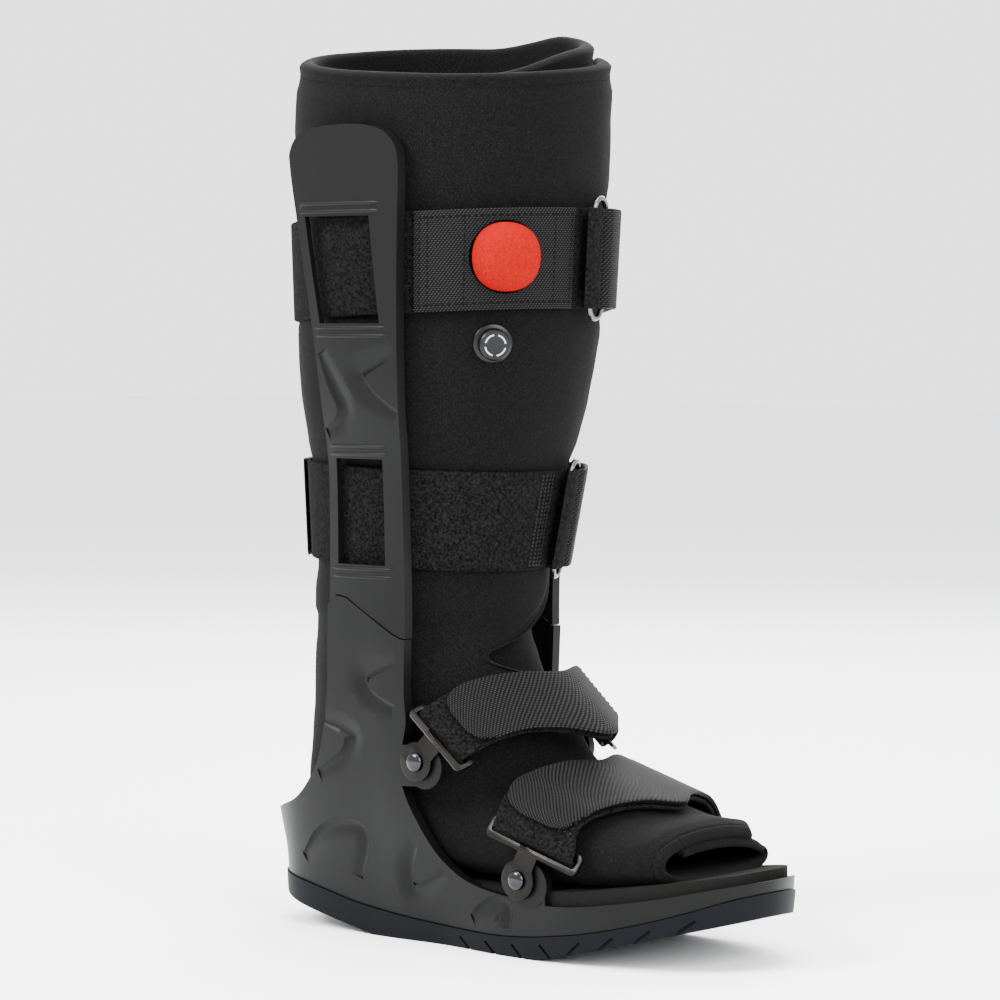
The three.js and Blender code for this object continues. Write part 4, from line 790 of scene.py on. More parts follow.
def smooth_step(low, high, value):
    t = np.clip((value - low) / (high - low), 0, 1)
    return t * t * (3 - 2 * t)


# How far the padding swells between the straps and how uneven it is, in millimetres.
SWELL = 1.3
UNEVEN = 0.55
# Two pressed lines and the binding along every edge: height, distance from the edge and width.
EDGE_RELIEF = [(-0.9, 5.2, 0.8), (-0.5, 9, 1.1), (0.7, 2.6, 1.8)]
# Soft folds at the ankle: where each runs, in places along the liner and directions round it.
FOLDS = table(("place", "degrees", "slope", "wide", "reach", "depth"), [
    (0.55, -40, 0.030, 0.16, 34, 1.5), (1.15, -30, 0.022, 0.20, 30, 1.2),
    (-0.1, -50, 0.028, 0.20, 28, 1.3), (1.9, -20, 0.016, 0.26, 30, 0.8),
    (-4.2, -72, 0.020, 0.35, 30, 0.8), (-7.4, -60, 0.025, 0.35, 26, 0.7),
])


def padding(place, degrees, section, ends, edge):
    """How far the padding stands out: it swells between the straps, and wrinkles at the ankle."""
    height = float(section["front_z"])
    free = 1.0
    for strap in CALF_STRAPS.values():
        gap = abs(height - strap_middle(strap, 0)) - S.strap_width / 2
        free = min(free, float(smooth_step(0, 13, gap)))
    swell = (SWELL if place > 0.3 else 0.0) * free * np.ones_like(degrees)
    for fold in FOLDS:
        along = place - fold["place"] - fold["slope"] * (degrees - 360 - fold["degrees"])
        beside = (degrees - 360 - fold["degrees"]) / fold["reach"]
        swell -= fold["depth"] * np.exp(-(along / fold["wide"]) ** 2) * np.exp(-beside ** 2)
    spots = liner_point(section, degrees, 0)
    rough = np.array([noise.noise(Vector(p) * 0.035) + 0.5 * noise.noise(Vector(p) * 0.09)
                      for p in spots])
    swell = swell + UNEVEN * rough
    near = np.minimum(ends, edge)
    lines = sum(up * np.exp(-((near - away) / wide) ** 2) for up, away, wide in EDGE_RELIEF)
    return swell * smooth_step(8, 16, near) + lines


# Uprights


def upright_slab(low, high, columns):
    rings = []
    for up in np.linspace(UPRIGHT_EDGES[0]["at"], UPRIGHT_EDGES[-1]["at"], 72):
        height = up * S.upright_height
        back, front = upright_edges(height)
        x = back + columns * (front - back)
        bow = S.upright_bow * (2 * columns - 1) ** 2 - upright_half(height)
        side = [np.stack([x, depth + bow, np.full_like(x, height)], 1) for depth in (low, high)]
        rings.append(np.vstack([side[0], side[1][::-1]]))
    return loft(rings)


def upright_face(x, z):
    back, front = upright_edges(z)
    across = (x - back) / (front - back)
    return upright_half(z) - S.upright_bow * (2 * across - 1) ** 2


def window_frame(row):
    """Middle height, reach up and down, and the upright's edges there."""
    middle = up_the_leg(row["rise"])
    reach = S.strap_width / 2 + 1.5
    return middle, reach, upright_edges(middle - reach), upright_edges(middle + reach)


# The ribs beside each window: their distance from it, from each other's middle, and their radius.
RIB_GAP = 4
RIB_APART = 1.9
RIB_RADIUS = 1.1


def make_upright():
    rows = [u * S.upright_height for u in np.linspace(0.36, 0.94, 60)]
    front_line = [(upright_edges(h)[1], h) for h in rows]
    back_line = [(upright_edges(h)[0], h) for h in rows]
    back, front = upright_edges(S.upright_height)
    top, corner = S.upright_height, S.upright_corner
    crown = smooth_line([
        front_line[-1], (front - 0.6, top - corner), (front - 0.12 * corner, top - 0.55 * corner),
        (front - 0.42 * corner, top - 0.22 * corner), (front - corner, top - 0.04 * corner),
        ((back + front) / 2, top), (back + 0.7 * corner, top - 0.1 * corner),
        (back + 0.25 * corner, top - 0.32 * corner), (back + 0.04 * corner, top - 0.75 * corner),
        back_line[-1]], 70)[1:-1]
    outline = front_line + crown + back_line[::-1]
    profile = prism(outline, -ASIDE, 0)
    lip_line = front_line + [q for q in crown if q[0] > front - corner]
    depth = S.upright_wall + S.upright_room - S.strap - S.strap_gap - S.clearance
    lip = combine(upright_slab(S.upright_wall / 2, depth, np.linspace(0.67, 1, 12)),
                  prism(ribbon(lip_line, S.edge_lip, 1), -ASIDE, 0), "INTERSECT")
    wall = upright_slab(0, S.upright_wall, np.linspace(0, 1, 33))
    upright = combine(combine(wall, lip, "UNION"), profile, "INTERSECT")
    for row in WINDOWS:
        middle, reach, (low_back, low_front), (high_back, high_front) = window_frame(row)
        hole = prism([
            (low_back + row["back"], middle - reach),
            (low_front - row["front_low"], middle - reach),
            (high_front - row["front_high"], middle + reach),
            (high_back + row["back"], middle + reach),
        ], -ASIDE, 0)
        upright = combine(upright, hole, "DIFFERENCE")
        for height, start, end in (
                (middle - reach - RIB_GAP, low_back, low_front - row["front_low"] * 0.6),
                (middle + reach + RIB_GAP, high_back, high_front - row["front_high"] * 0.6)):
            for offset in (-RIB_APART, RIB_APART):
                upright = combine(upright, rib_bar(start + 2, end, height + offset), "UNION")
    for sharp, groove in UPRIGHT_GROOVES:
        line = []
        for across, up in groove:
            low, high = upright_edges(up * S.upright_height)
            line.append((low + across * (high - low), up * S.upright_height))
        cutter = groove_cutter(smooth_line(line, 18), upright_face, sharp)
        upright = combine(upright, cutter, "DIFFERENCE")
    above = prism(seam_line(0) + [(ALONG, ABOVE), (-ALONG, ABOVE)])
    return combine(upright, above, "INTERSECT")


def rib_bar(start, end, height):
    """A low round bar across the upright."""
    rings = []
    for x in np.linspace(start, end, 18):
        taper = min(1, (x - start + 0.6) / 3, (end - x + 0.6) / 3)
        ring = []
        for k in range(10):
            turn = 2 * math.pi * k / 10
            z = height + RIB_RADIUS * taper * math.cos(turn)
            ring.append((x, -upright_face(x, z) + 0.3 - taper * math.sin(turn), z))
        rings.append(ring)
    return loft(rings)


# Straps


def strap_middle(strap, degrees):
    """The height of a calf strap's middle in a direction."""
    ahead = np.cos(np.radians(degrees)) * S.calf_depth / 2
    return up_the_leg(strap["rise"]) + strap["lift"] + strap["slope"] * ahead


def level_out():
    return S.strap_gap + S.strap / 2


def loop_radius():
    return S.ring_wire / 2 + S.loop_gap + S.strap / 2


def calf_map(strap):
    """Maps distance round the leg, level and share across to a point, true at the ring."""
    height = float(strap_middle(strap, strap["ring"]))
    lift = level_out() + loop_radius()
    a, b = [leg_point(height, strap["ring"] + turn, lift) for turn in (-6, 6)]
    radius = np.linalg.norm(b - a) / math.radians(12)

    def place(s, n, across):
        degrees = np.degrees(s / radius)
        middle = strap_middle(strap, degrees)
        low = leg_point(middle - S.strap_width / 2, degrees, n)
        high = leg_point(middle + S.strap_width / 2, degrees, n)
        return low + (high - low) * across

    return place, lambda degrees: math.radians(degrees) * radius


def webbing(line, place, width, thickness, shape=None):
    """A strip along a line of distances and levels, with rounded edges and lengthwise UVs.

    shape gives, for a distance, how much of the width is kept at the strip's end.
    """
    line = curve_at(line, np.linspace(0, 1, (len(line) - 1) * 3 + 1))
    along = np.gradient(line, axis=0)
    normal = np.stack([-along[:, 1], along[:, 0]], 1) / np.linalg.norm(along, axis=1)[:, None]
    run = np.concatenate([[0], np.cumsum(np.linalg.norm(np.diff(line, axis=0), axis=1))])
    rounding = thickness / 2 / width
    bend = rounding * np.array([0, 0.08, 0.3, 0.6, 1])
    across = np.concatenate([bend, np.linspace(0, 1, 22)[2:-2], 1 - bend[::-1]])
    ends = np.minimum(run, run[-1] - run)
    cap = np.sqrt(np.clip(1 - (1 - np.clip(ends / (thickness / 2), 0, 1)) ** 2, 0.02, 1))
    rings, uvs = [], []
    for w in across:
        edge = min(w, 1 - w) / rounding
        half = thickness / 2 * cap * max(math.sqrt(max(1 - (1 - min(edge, 1)) ** 2, 0)), 0.12)
        share = np.full(len(line), w) if shape is None else 0.5 + (w - 0.5) * shape(line[:, 0])
        sides = []
        for sign in (1, -1):
            s = line[:, 0] + sign * normal[:, 0] * half
            n = line[:, 1] + sign * normal[:, 1] * half
            sides.append(place(s, n, share[:, None]))
        rings.append(np.vstack([sides[0], sides[1][::-1]]))
        flat = np.stack([run, share * width], 1)
        uvs.append(np.vstack([flat, flat[::-1]]))
    return loft(rings, uvs, "webbing")


def fold(centre, level, radius, toward):
    turns = -math.pi / 2 + math.pi * np.arange(7) / 6
    return [(centre + toward * radius * math.cos(t), level + radius * math.sin(t)) for t in turns]


def run_level(start, end, height, steps):
    return [(s, height) for s in np.linspace(start, end, steps + 1)]


# Directions in which the straps end beside the ring, and in which the tabs lie flat behind the leg.
STRAP_END = 52
TAB_FLAT = 172


def make_calf_strap(strap):
    place, arc = calf_map(strap)
    bar = arc(strap["ring"]) - (S.ring_width - S.ring_wire) / 2
    radius = loop_radius()
    line = run_level(arc(STRAP_END - 360), bar - 2, level_out(), 30)
    line += fold(bar, level_out() + radius, radius, 1) + [(bar - 8, level_out() + 2 * radius)]
    return webbing(line, place, S.strap_width, S.strap)


def chord_level(height, start, end, degrees):
    point = leg_point(height, degrees, 0)
    out = leg_point(height, degrees, 1) - point
    dx, dy = end[0] - start[0], end[1] - start[1]
    return ((start[0] - point[0]) * dy - (start[1] - point[1]) * dx) / (out[0] * dy - out[1] * dx)


def make_calf_tab(strap):
    place, arc = calf_map(strap)
    bar = arc(strap["ring"]) + (S.ring_width - S.ring_wire) / 2
    radius = loop_radius()
    rest = level_out() + S.strap + S.strap_gap
    height = up_the_leg(strap["rise"])
    back, front = upright_edges(height + S.strap_width / 2)
    face = upright_half(height) + 1.4 + S.strap_gap + S.strap / 2
    corners = [leg_point(height, strap["ring"] + 12, level_out() + 2 * radius), (front + 3, face),
               (back - 4, face), leg_point(height, TAB_FLAT, rest)]
    over = []
    for degrees in np.arange(strap["ring"] + 14, TAB_FLAT, 8):
        levels = [chord_level(height, corners[k], corners[k + 1], degrees) for k in range(3)]
        point = leg_point(height, degrees, levels[1])
        part = 0 if point[0] > corners[1][0] else 2 if point[0] < corners[2][0] else 1
        over.append((arc(degrees), max(levels[part], rest)))
    line = run_level(arc(STRAP_END) - S.clearance, bar + 2, level_out(), 4)
    line += fold(bar, level_out() + radius, radius, -1) + over
    line += run_level(arc(TAB_FLAT + 2), arc(strap["tab"]), rest, 3)
    return webbing(line, place, S.strap_width, S.strap)


def leg_frame(height, degrees, lift, span):
    low, high = [Vector(leg_point(height + side * span, degrees, lift)) for side in (-1, 1)]
    up = (high - low).normalized()
    along = leg_point(height, degrees + 4, lift) - leg_point(height, degrees - 4, lift)
    along = Vector(along).normalized()
    out = along.cross(up).normalized()
    along = up.cross(out)
    return basis(along, up, out, (low + high) / 2)


def basis(x, y, z, origin):
    """A frame in metres, to place a mesh that is made in metres."""
    matrix = Matrix((x, y, z)).transposed().to_4x4()
    matrix.translation = Vector(origin) * MM
    return matrix


def wire_loop(half_wide, half_tall, corner, radius, matrix):
    """A closed round wire with rounded corners."""
    path = []
    for cx, cy, start in ((1, 1, 0), (-1, 1, 90), (-1, -1, 180), (1, -1, 270)):
        for k in range(9):
            turn = math.radians(start + 90 * k / 8)
            path.append((cx * (half_wide - corner) + corner * math.cos(turn),
                         cy * (half_tall - corner) + corner * math.sin(turn), 0))
    path = np.array(path)
    n, sides = len(path), 14
    along = np.roll(path, -1, 0) - np.roll(path, 1, 0)
    along /= np.linalg.norm(along, axis=1)[:, None]
    out = np.stack([along[:, 1], -along[:, 0], np.zeros(n)], 1)
    points = [path[i] + radius * (math.cos(t) * out[i] + math.sin(t) * np.array([0, 0, 1]))
              for i in range(n) for t in 2 * math.pi * np.arange(sides) / sides]
    faces = [(i * sides + j, i * sides + (j + 1) % sides, (i + 1) % n * sides + (j + 1) % sides,
              (i + 1) % n * sides + j) for i in range(n) for j in range(sides)]
    mesh = outward(mesh_of(points, faces))
    mesh.transform(matrix)
    return mesh


def make_ring(strap):
    height = float(strap_middle(strap, strap["ring"]))
    matrix = leg_frame(height, strap["ring"], level_out() + loop_radius(), S.strap_width / 2)
    half_wide = (S.ring_width - S.ring_wire) / 2
    half_tall = S.strap_width / 2 + S.ring_overhang - S.ring_wire / 2
    return wire_loop(half_wide, half_tall, half_wide * 0.98, S.ring_wire / 2, matrix)


# Pump and valve

PUMP = {"turn": -33, "rise": 1, "start": -67}
VALVE = {"turn": -36, "below": 15.5, "lift": -0.4, "base": 2.4, "bore": 2.6}


def panel_level():
    return level_out() + S.strap + S.clearance


def bulb_frame():
    height = float(strap_middle(CALF_STRAPS["upper"], PUMP["turn"])) + PUMP["rise"]
    return leg_frame(height, PUMP["turn"], panel_level() - S.strap / 2, 8)


def valve_frame():
    edge = float(strap_middle(CALF_STRAPS["upper"], VALVE["turn"])) - S.strap_width / 2
    return leg_frame(edge - VALVE["below"], VALVE["turn"], S.clearance, 8)


def make_pump_panel():
    strap = CALF_STRAPS["upper"]
    place, arc = calf_map(strap)
    end = arc(strap["ring"]) - S.ring_width / 2 - 10
    line = run_level(arc(PUMP["start"]), end, panel_level(), 14)
    panel = webbing(line, place, S.strap_width, S.strap)
    radius = S.bulb + S.clearance
    hole = turned([(0, -20), (radius, -20), (radius, 20), (0, 20)], 72, bulb_frame())
    return combine(panel, hole, "DIFFERENCE")


def make_bulb():
    """The bulb: a low dome, slightly squarish as seen from the front."""
    base = S.clearance
    profile = [(0, base), (S.bulb - 1, base), (S.bulb, base + 1.6)]
    for k in range(1, 13):
        turn = math.pi / 2 * k / 12
        profile.append((S.bulb * math.cos(turn) ** 0.85 if k < 12 else 0,
                        base + 1.6 + S.bulb_height * math.sin(turn) ** 0.9))
    bulb = turned(profile, 64)
    for vertex in bulb.vertices:
        turn = math.atan2(vertex.co.y, vertex.co.x)
        keep = 0.965 + 0.035 * (1 - math.cos(4 * turn)) / 2
        vertex.co.x, vertex.co.y = vertex.co.x * keep, vertex.co.y * keep
    bulb.transform(bulb_frame())
    return bulb


def valve_top():
    return VALVE["base"] + VALVE["lift"]


def make_valve_base():
    low, top = VALVE["lift"], valve_top()
    pin, end = VALVE["bore"] - S.clearance, top + S.knob_height / 2
    return turned([
        (0, low), (S.valve - 0.6, low), (S.valve, low + 0.5), (S.valve, top - 0.8),
        (S.valve - 0.3, top - 0.3), (S.valve - 0.9, top), (pin, top), (pin, end), (0, end),
    ], 64, valve_frame())


def make_valve_knob():
    low = valve_top() + S.clearance
    high = low + S.knob_height
    bore = low + S.knob_height / 2 + S.clearance
    return turned([
        (0, bore), (VALVE["bore"], bore), (VALVE["bore"], low), (S.knob, low), (S.knob, high - 1.2),
        (S.knob - 0.35, high - 0.4), (S.knob - 1.0, high), (S.knob - 2.2, high - 0.15),
        (0, high - 0.3),
    ], 64, valve_frame())


def make_valve_marks():
    """Four flat arcs that form a broken ring on the knob's top."""
    high = valve_top() + S.clearance + S.knob_height
    steps = 12
    points, faces = [], []
    for quarter in range(4):
        first = len(points)
        last = first + 4 * steps
        for k in range(steps + 1):
            turn = math.radians(quarter * 90 + 12 + 66 * k / steps)
            for radius in (S.knob * 0.60, S.knob * 0.69):
                x, y = radius * math.cos(turn), radius * math.sin(turn)
                points += [(x, y, high + 0.02), (x, y, high - 0.4)]
        for a in range(first, last, 4):
            b = a + 4
            faces += [(a, a + 2, b + 2, b), (a + 1, b + 1, b + 3, a + 3), (a, b, b + 1, a + 1),
                      (a + 2, a + 3, b + 3, b + 2)]
        faces += [(first, first + 1, first + 3, first + 2), (last, last + 2, last + 3, last + 1)]
    mesh = outward(mesh_of(points, faces))
    mesh.transform(valve_frame())
    return mesh


# Foot straps and plates

RAIL_LEAN = 0.3


def foot_map(rows):
    """Maps distance from the near rail, level and share across to a point on a foot strap."""
    half = S.sole_length / 2
    edges = []
    for x, z in (("leg_x", "leg_z"), ("toe_x", "toe_z")):
        near = [(r[x] * half, -r["side"] * S.girth / 2, r[z] * S.instep) for r in rows]
        edges.append(near + [(px, -py, pz) for px, py, pz in near[:-1][::-1]])
    fine = [curve_at(edge, np.linspace(0, 1, 201)) for edge in edges]
    total = [np.linalg.norm(np.diff(f, axis=0), axis=1).sum() for f in fine]
    size = sum(total) / 2

    def place(s, n, across):
        s, n = np.atleast_1d(s), np.atleast_1d(n)
        inside = np.clip(s / size, 0, 1)
        ends = [curve_at(edge, inside) for edge in edges]
        start = np.clip(inside, 0, 0.999)
        step = [curve_at(edge, start + 1e-3) - curve_at(edge, start) for edge in edges]
        unit = [v / np.linalg.norm(v, axis=1)[:, None] for v in step]
        width = ends[1] - ends[0]
        out = -np.cross(unit[0] + unit[1], width)
        out /= np.linalg.norm(out, axis=1)[:, None]
        ahead = np.cross(out, width)
        ahead /= np.linalg.norm(ahead, axis=1)[:, None]
        point = ends[0] + width * across + ahead * ((s / size - inside) * size)[:, None]
        return point + out * n[:, None]

    return place, size


def rail_fold():
    return S.plate / 2 + S.strap_gap + RAIL_LEAN + S.strap / 2


def rail_reach():
    return S.plate_rail / 2 + S.strap_gap + S.strap / 2


def foot_strap_width(name):
    place, _ = foot_map(FOOT_STRAPS[name])
    return float(np.linalg.norm(place(0, 0, 1.0) - place(0, 0, 0.0)))


def make_foot_strap(name):
    place, size = foot_map(FOOT_STRAPS[name])
    drop, reach = rail_fold(), rail_reach()
    line = [(3, -drop), (0, -drop), (-reach + 0.4, -drop + 0.8), (-reach, 0),
            (-reach + 0.4, drop - 0.8), (0, drop)] + run_level(6, size - 9, drop, 16)
    return webbing(line, place, foot_strap_width(name), S.strap)


# How far from the near rail a foot tab ends, and over what length its end is rounded.
TAB_STOP = 9
TAB_ROUND = 16


def make_foot_tab(name):
    place, size = foot_map(FOOT_STRAPS[name])
    drop, reach = rail_fold(), rail_reach()
    over = drop + S.strap + S.strap_gap
    line = [(size - 3, -drop), (size, -drop), (size + reach - 0.4, -drop + 0.8), (size + reach, 0),
            (size + reach - 0.4, drop), (size, over - 0.3)] + run_level(size - 8, TAB_STOP, over, 16)

    def shape(s):
        """The free end is rounded."""
        t = np.clip((s - TAB_STOP) / TAB_ROUND, 0, 1)
        return np.where(s < TAB_STOP + TAB_ROUND, 0.42 + 0.58 * np.sqrt(1 - (1 - t) ** 2), 1.0)

    return webbing(line, place, foot_strap_width(name), S.strap, shape=shape)


def flat_plate(outer, holes, matrix):
    """A flat plate with rounded edges, from outlines in millimetres."""
    data = bpy.data.curves.new("plate", "CURVE")
    data.dimensions = "2D"
    data.fill_mode = "BOTH"
    bevel = 0.35
    data.extrude = (S.plate / 2 - bevel) * MM
    data.bevel_depth = bevel * MM
    data.bevel_resolution = 2
    data.offset = -bevel * MM
    for outline in (outer, *holes):
        spline = data.splines.new("POLY")
        spline.points.add(len(outline) - 1)
        for point, (x, y) in zip(spline.points, outline):
            point.co = (x * MM, y * MM, 0, 1)
        spline.use_cyclic_u = True
    obj = bpy.data.objects.new("plate", data)
    bpy.context.collection.objects.link(obj)
    mesh = plain(obj)
    work = bmesh.new()
    work.from_mesh(mesh)
    bmesh.ops.remove_doubles(work, verts=work.verts, dist=1e-6)
    work.to_mesh(mesh)
    work.free()
    mesh.transform(matrix)
    return outward(mesh)


def arc_points(x, y, radius, start, end, count=10):
    turns = np.radians(np.linspace(start, end, count))
    return [(x + radius * math.cos(t), y + radius * math.sin(t)) for t in turns]


def rounded_box(left, right, low, high, corner):
    left, right, low, high = left + corner, right - corner, low + corner, high - corner
    corners = ((right, high, 0), (left, high, 90), (left, low, 180), (right, low, 270))
    return [q for x, y, turn in corners for q in arc_points(x, y, corner, turn, turn + 90)]


def make_plate(name):
    """The slot plate: a bar with a slot, a neck and a round tab under the rivet."""
    place, _ = foot_map(FOOT_STRAPS[name])
    x, z, face = ear_place(name)
    leg_end, toe_end = [Vector(place(0, 0, share)[0]) for share in (0.0, 1.0)]
    middle = (leg_end + toe_end) / 2
    rivet = Vector((x, -face - S.clearance - S.plate / 2, z))
    to_bar = Vector((middle.x - rivet.x, 0, middle.z - rivet.z))
    aside = middle.y - rivet.y
    neck_reach = to_bar.length - math.sqrt((S.plate_rail + S.plate_slot) ** 2 - aside ** 2)
    to_bar.normalize()
    along = (toe_end - leg_end).normalized()
    down = rivet + to_bar * neck_reach - middle
    down = (down - along * down.dot(along)).normalized()
    out = along.cross(down).normalized()
    if out.y > 0:
        out.negate()
    half_bar = (toe_end - leg_end).length / 2 + S.plate_rail + S.clearance
    high = S.plate_rail * 1.5 + S.plate_slot
    rim, rail = S.plate_rail * 0.8, S.plate_rail / 2
    slot = rounded_box(-half_bar + rim, half_bar - rim, rail, rail + S.plate_slot, 1.2)
    bar = flat_plate(rounded_box(-half_bar, half_bar, -rail, high, 3), [slot],
                     basis(down.cross(out), down, out, middle))
    facing = Vector((0, -1, 0))
    waist = S.plate_tab * 0.62
    turn = math.degrees(math.asin(waist / S.plate_tab))
    tab = flat_plate(
        [(waist, neck_reach + 1)] + arc_points(0, 0, S.plate_tab, 90 - turn, turn - 270, 40)
        + [(-waist, neck_reach + 1)], [arc_points(0, 0, S.rivet + S.clearance, 0, 350, 28)],
        basis(to_bar.cross(facing), to_bar, facing, rivet))
    return combine(bar, tab, "UNION")


def make_rivet(name):
    x, z, face = ear_place(name)
    outside = face + S.plate + 2 * S.clearance
    inside = face - S.shell_wall - 1 - S.clearance
    head = S.rivet_head
    profile = [(0, inside - 1), (head * 0.8, inside - 1), (head * 0.8, inside), (S.rivet, inside),
               (S.rivet, outside), (head, outside), (head, outside + 0.35)]
    profile += [(head * math.cos(t) ** 0.9, outside + 0.35 + 2.05 * math.sin(t))
                for t in np.radians(range(10, 90, 10))]
    matrix = Matrix.Translation((x * MM, 0, z * MM)) @ Matrix.Rotation(math.radians(90), 4, "X")
    return turned(profile + [(0, outside + 2.4)], 40, matrix)


# Geometry Nodes: rows of stitches and dots along a path


def repeat_tree():
    """Sets one small bead at even steps along each path of a mesh, turned along the path."""
    tree = bpy.data.node_groups.new("beads_on_paths", "GeometryNodeTree")
    for name, kind in (("Paths", "Geometry"), ("Pitch", "Float"), ("Size", "Vector"),
                       ("Material", "Material")):
        tree.interface.new_socket(name, in_out="INPUT", socket_type="NodeSocket" + kind)
    tree.interface.new_socket("Geometry", in_out="OUTPUT", socket_type="NodeSocketGeometry")
    source = add(tree, "NodeGroupInput")
    line = add(tree, "GeometryNodeMeshToCurve", {"Mesh": source.outputs["Paths"]})
    even = add(tree, "GeometryNodeResampleCurve",
               {"Curve": line, "Length": source.outputs["Pitch"]}, mode="LENGTH")
    bead = add(tree, "GeometryNodeMeshUVSphere", {"Segments": 8, "Rings": 5, "Radius": 0.5})
    tangent = add(tree, "GeometryNodeInputTangent")
    turn = add(tree, "FunctionNodeAlignRotationToVector", {"Vector": tangent}, axis="X")
    up = add(tree, "GeometryNodeInputNamedAttribute", {"Name": "out"}, data_type="FLOAT_VECTOR")
    face = add(tree, "FunctionNodeAlignRotationToVector",
               {"Rotation": turn, "Vector": up}, axis="Z", pivot_axis="X")
    copies = add(tree, "GeometryNodeInstanceOnPoints", {
        "Points": even, "Instance": bead, "Rotation": face, "Scale": source.outputs["Size"]})
    real = add(tree, "GeometryNodeRealizeInstances", {"Geometry": copies})
    smooth = add(tree, "GeometryNodeSetShadeSmooth", {"Geometry": real})
    painted = add(tree, "GeometryNodeSetMaterial", {
        "Geometry": smooth, "Material": source.outputs["Material"]})
    add(tree, "NodeGroupOutput", {"Geometry": painted})
    return tree


def beads(name, paths, pitch, size, finish, slot):
    """A piece of beads along paths; a path is a list of points and outward directions."""
    points, outs, edges = [], [], []
    for path in paths:
        first = len(points)
        points += [tuple(p) for p, _ in path]
        outs += [tuple(o) for _, o in path]
        edges += [(first + k, first + k + 1) for k in range(len(path) - 1)]
    mesh = bpy.data.meshes.new(name)
    mesh.from_pydata((np.array(points) * MM).tolist(), edges, [])
    layer = mesh.attributes.new("out", "FLOAT_VECTOR", "POINT")
    layer.data.foreach_set("vector", np.array(outs).ravel())
    obj = bpy.data.objects.new(name, mesh)
    bpy.context.collection.objects.link(obj)
    nodes = obj.modifiers.new("beads", "NODES")
    nodes.node_group = once("tree", repeat_tree)
    values = {"Pitch": pitch * MM, "Size": [v * MM for v in size], "Material": finish_of(finish)}
    for item in nodes.node_group.interface.items_tree:
        if item.name in values:
            nodes[item.identifier] = values[item.name]
    piece(name, plain(obj), finish, slot, angle=60, extra=True)


def strap_path(place, line, level):
    """A path on a mapped strip: line holds distances and shares across."""
    path = []
    for s, across in line:
        a, b = [place(np.array([s]), np.array([n]), across).reshape(-1) for n in (level, level + 1)]
        path.append((a, (b - a) / np.linalg.norm(b - a)))
    return path


# Materials


def add(tree, kind, inputs=None, **settings):
    """Adds a node with its settings, values and links."""
    node = tree.nodes.new(kind)
    for key, value in settings.items():
        setattr(node, key, value)
    for key, value in (inputs or {}).items():
        socket = node.inputs[key]
        if isinstance(value, bpy.types.Node):
            value = value.outputs[0]
        if isinstance(value, bpy.types.NodeSocket):
            tree.links.new(value, socket)
        else:
            socket.default_value = value
    return node


def start_material(name, roughness=0.5, specular=0.04):
    material = bpy.data.materials.new(name)
    material.use_nodes = True
    tree = material.node_tree
    shader = tree.nodes["Principled BSDF"]
    shader.inputs["Roughness"].default_value = roughness
    shader.inputs["Specular IOR Level"].default_value = specular
    return material, tree, shader


def lighter(rgba, times):
    return (*[min(c * times, 1) for c in rgba[:3]], 1)


def grain(tree, millimetres, detail=3.0, rough=0.6):
    """Noise whose cells measure so many millimetres."""
    place = add(tree, "ShaderNodeTexCoord").outputs["Object"]
    return add(tree, "ShaderNodeTexNoise", {
        "Vector": place, "Scale": 1 / (millimetres * MM), "Detail": detail, "Roughness": rough,
    }).outputs["Fac"]


def paint(tree, shader, factor, low, high, start=0.0, end=1.0):
    """Colours a material from low to high while a factor runs from start to end."""
    ramp = add(tree, "ShaderNodeValToRGB", {"Fac": factor})
    for k, (rgba, position) in enumerate(((low, start), (high, end))):
        ramp.color_ramp.elements[k].color = rgba
        ramp.color_ramp.elements[k].position = position
    tree.links.new(ramp.outputs[0], shader.inputs["Base Color"])


def roughen(tree, shader, factor, low, high):
    """Lets the roughness run from low to high with a factor."""
    spread = add(tree, "ShaderNodeMapRange", {"Value": factor, "To Min": low, "To Max": high})
    tree.links.new(spread.outputs[0], shader.inputs["Roughness"])


def relief(tree, shader, height, millimetres, strength):
    bump = add(tree, "ShaderNodeBump", {
        "Height": height, "Distance": millimetres * MM, "Strength": strength})
    tree.links.new(bump.outputs[0], shader.inputs["Normal"])


def moulded_plastic(base):
    """Injection moulded polypropylene: satin, with a very fine spark-eroded grain."""
    material, tree, shader = start_material("moulded_plastic", specular=0.09)
    paint(tree, shader, grain(tree, 18, 2), base, lighter(base, 1.35))
    fine = grain(tree, 0.45, 4)
    roughen(tree, shader, fine, 0.36, 0.5)
    relief(tree, shader, fine, 0.05, 0.35)
    return material


def sole_rubber(base):
    """Moulded rubber: matt blue grey, lighter where it has rubbed."""
    material, tree, shader = start_material("sole_rubber", 0.55)
    paint(tree, shader, grain(tree, 14, 4), base, lighter(base, 1.5))
    relief(tree, shader, grain(tree, 0.7, 4), 0.12, 0.5)
    return material


def bed_foam(base):
    """Cut foam: matt and fibrous at its edge."""
    material, tree, shader = start_material("bed_foam", 0.95)
    fibre = grain(tree, 1.1, 5, 0.75)
    paint(tree, shader, fibre, base, lighter(base, 2.6))
    relief(tree, shader, fibre, 0.6, 0.8)
    return material


def liner_cloth(base):
    """Foam with a brushed nylon face: black, with a trace of sheen and a fine pale fleck."""
    material, tree, shader = start_material("liner_cloth", 0.92)
    paint(tree, shader, grain(tree, 0.7, 3, 0.7), base, lighter(base, 6), 0.44, 0.80)
    relief(tree, shader, grain(tree, 1.3, 4, 0.7), 0.35, 0.75)
    shader.inputs["Sheen Weight"].default_value = 0.01
    return material


def brushed_loop(base):
    """Brushed loop tape: brown black, deep and fuzzy."""
    material, tree, shader = start_material("brushed_loop", 1.0)
    fuzz = grain(tree, 1.5, 5, 0.8)
    paint(tree, shader, fuzz, lighter(base, 0.2), lighter(base, 9), 0.40, 0.72)
    relief(tree, shader, fuzz, 0.9, 0.9)
    return material


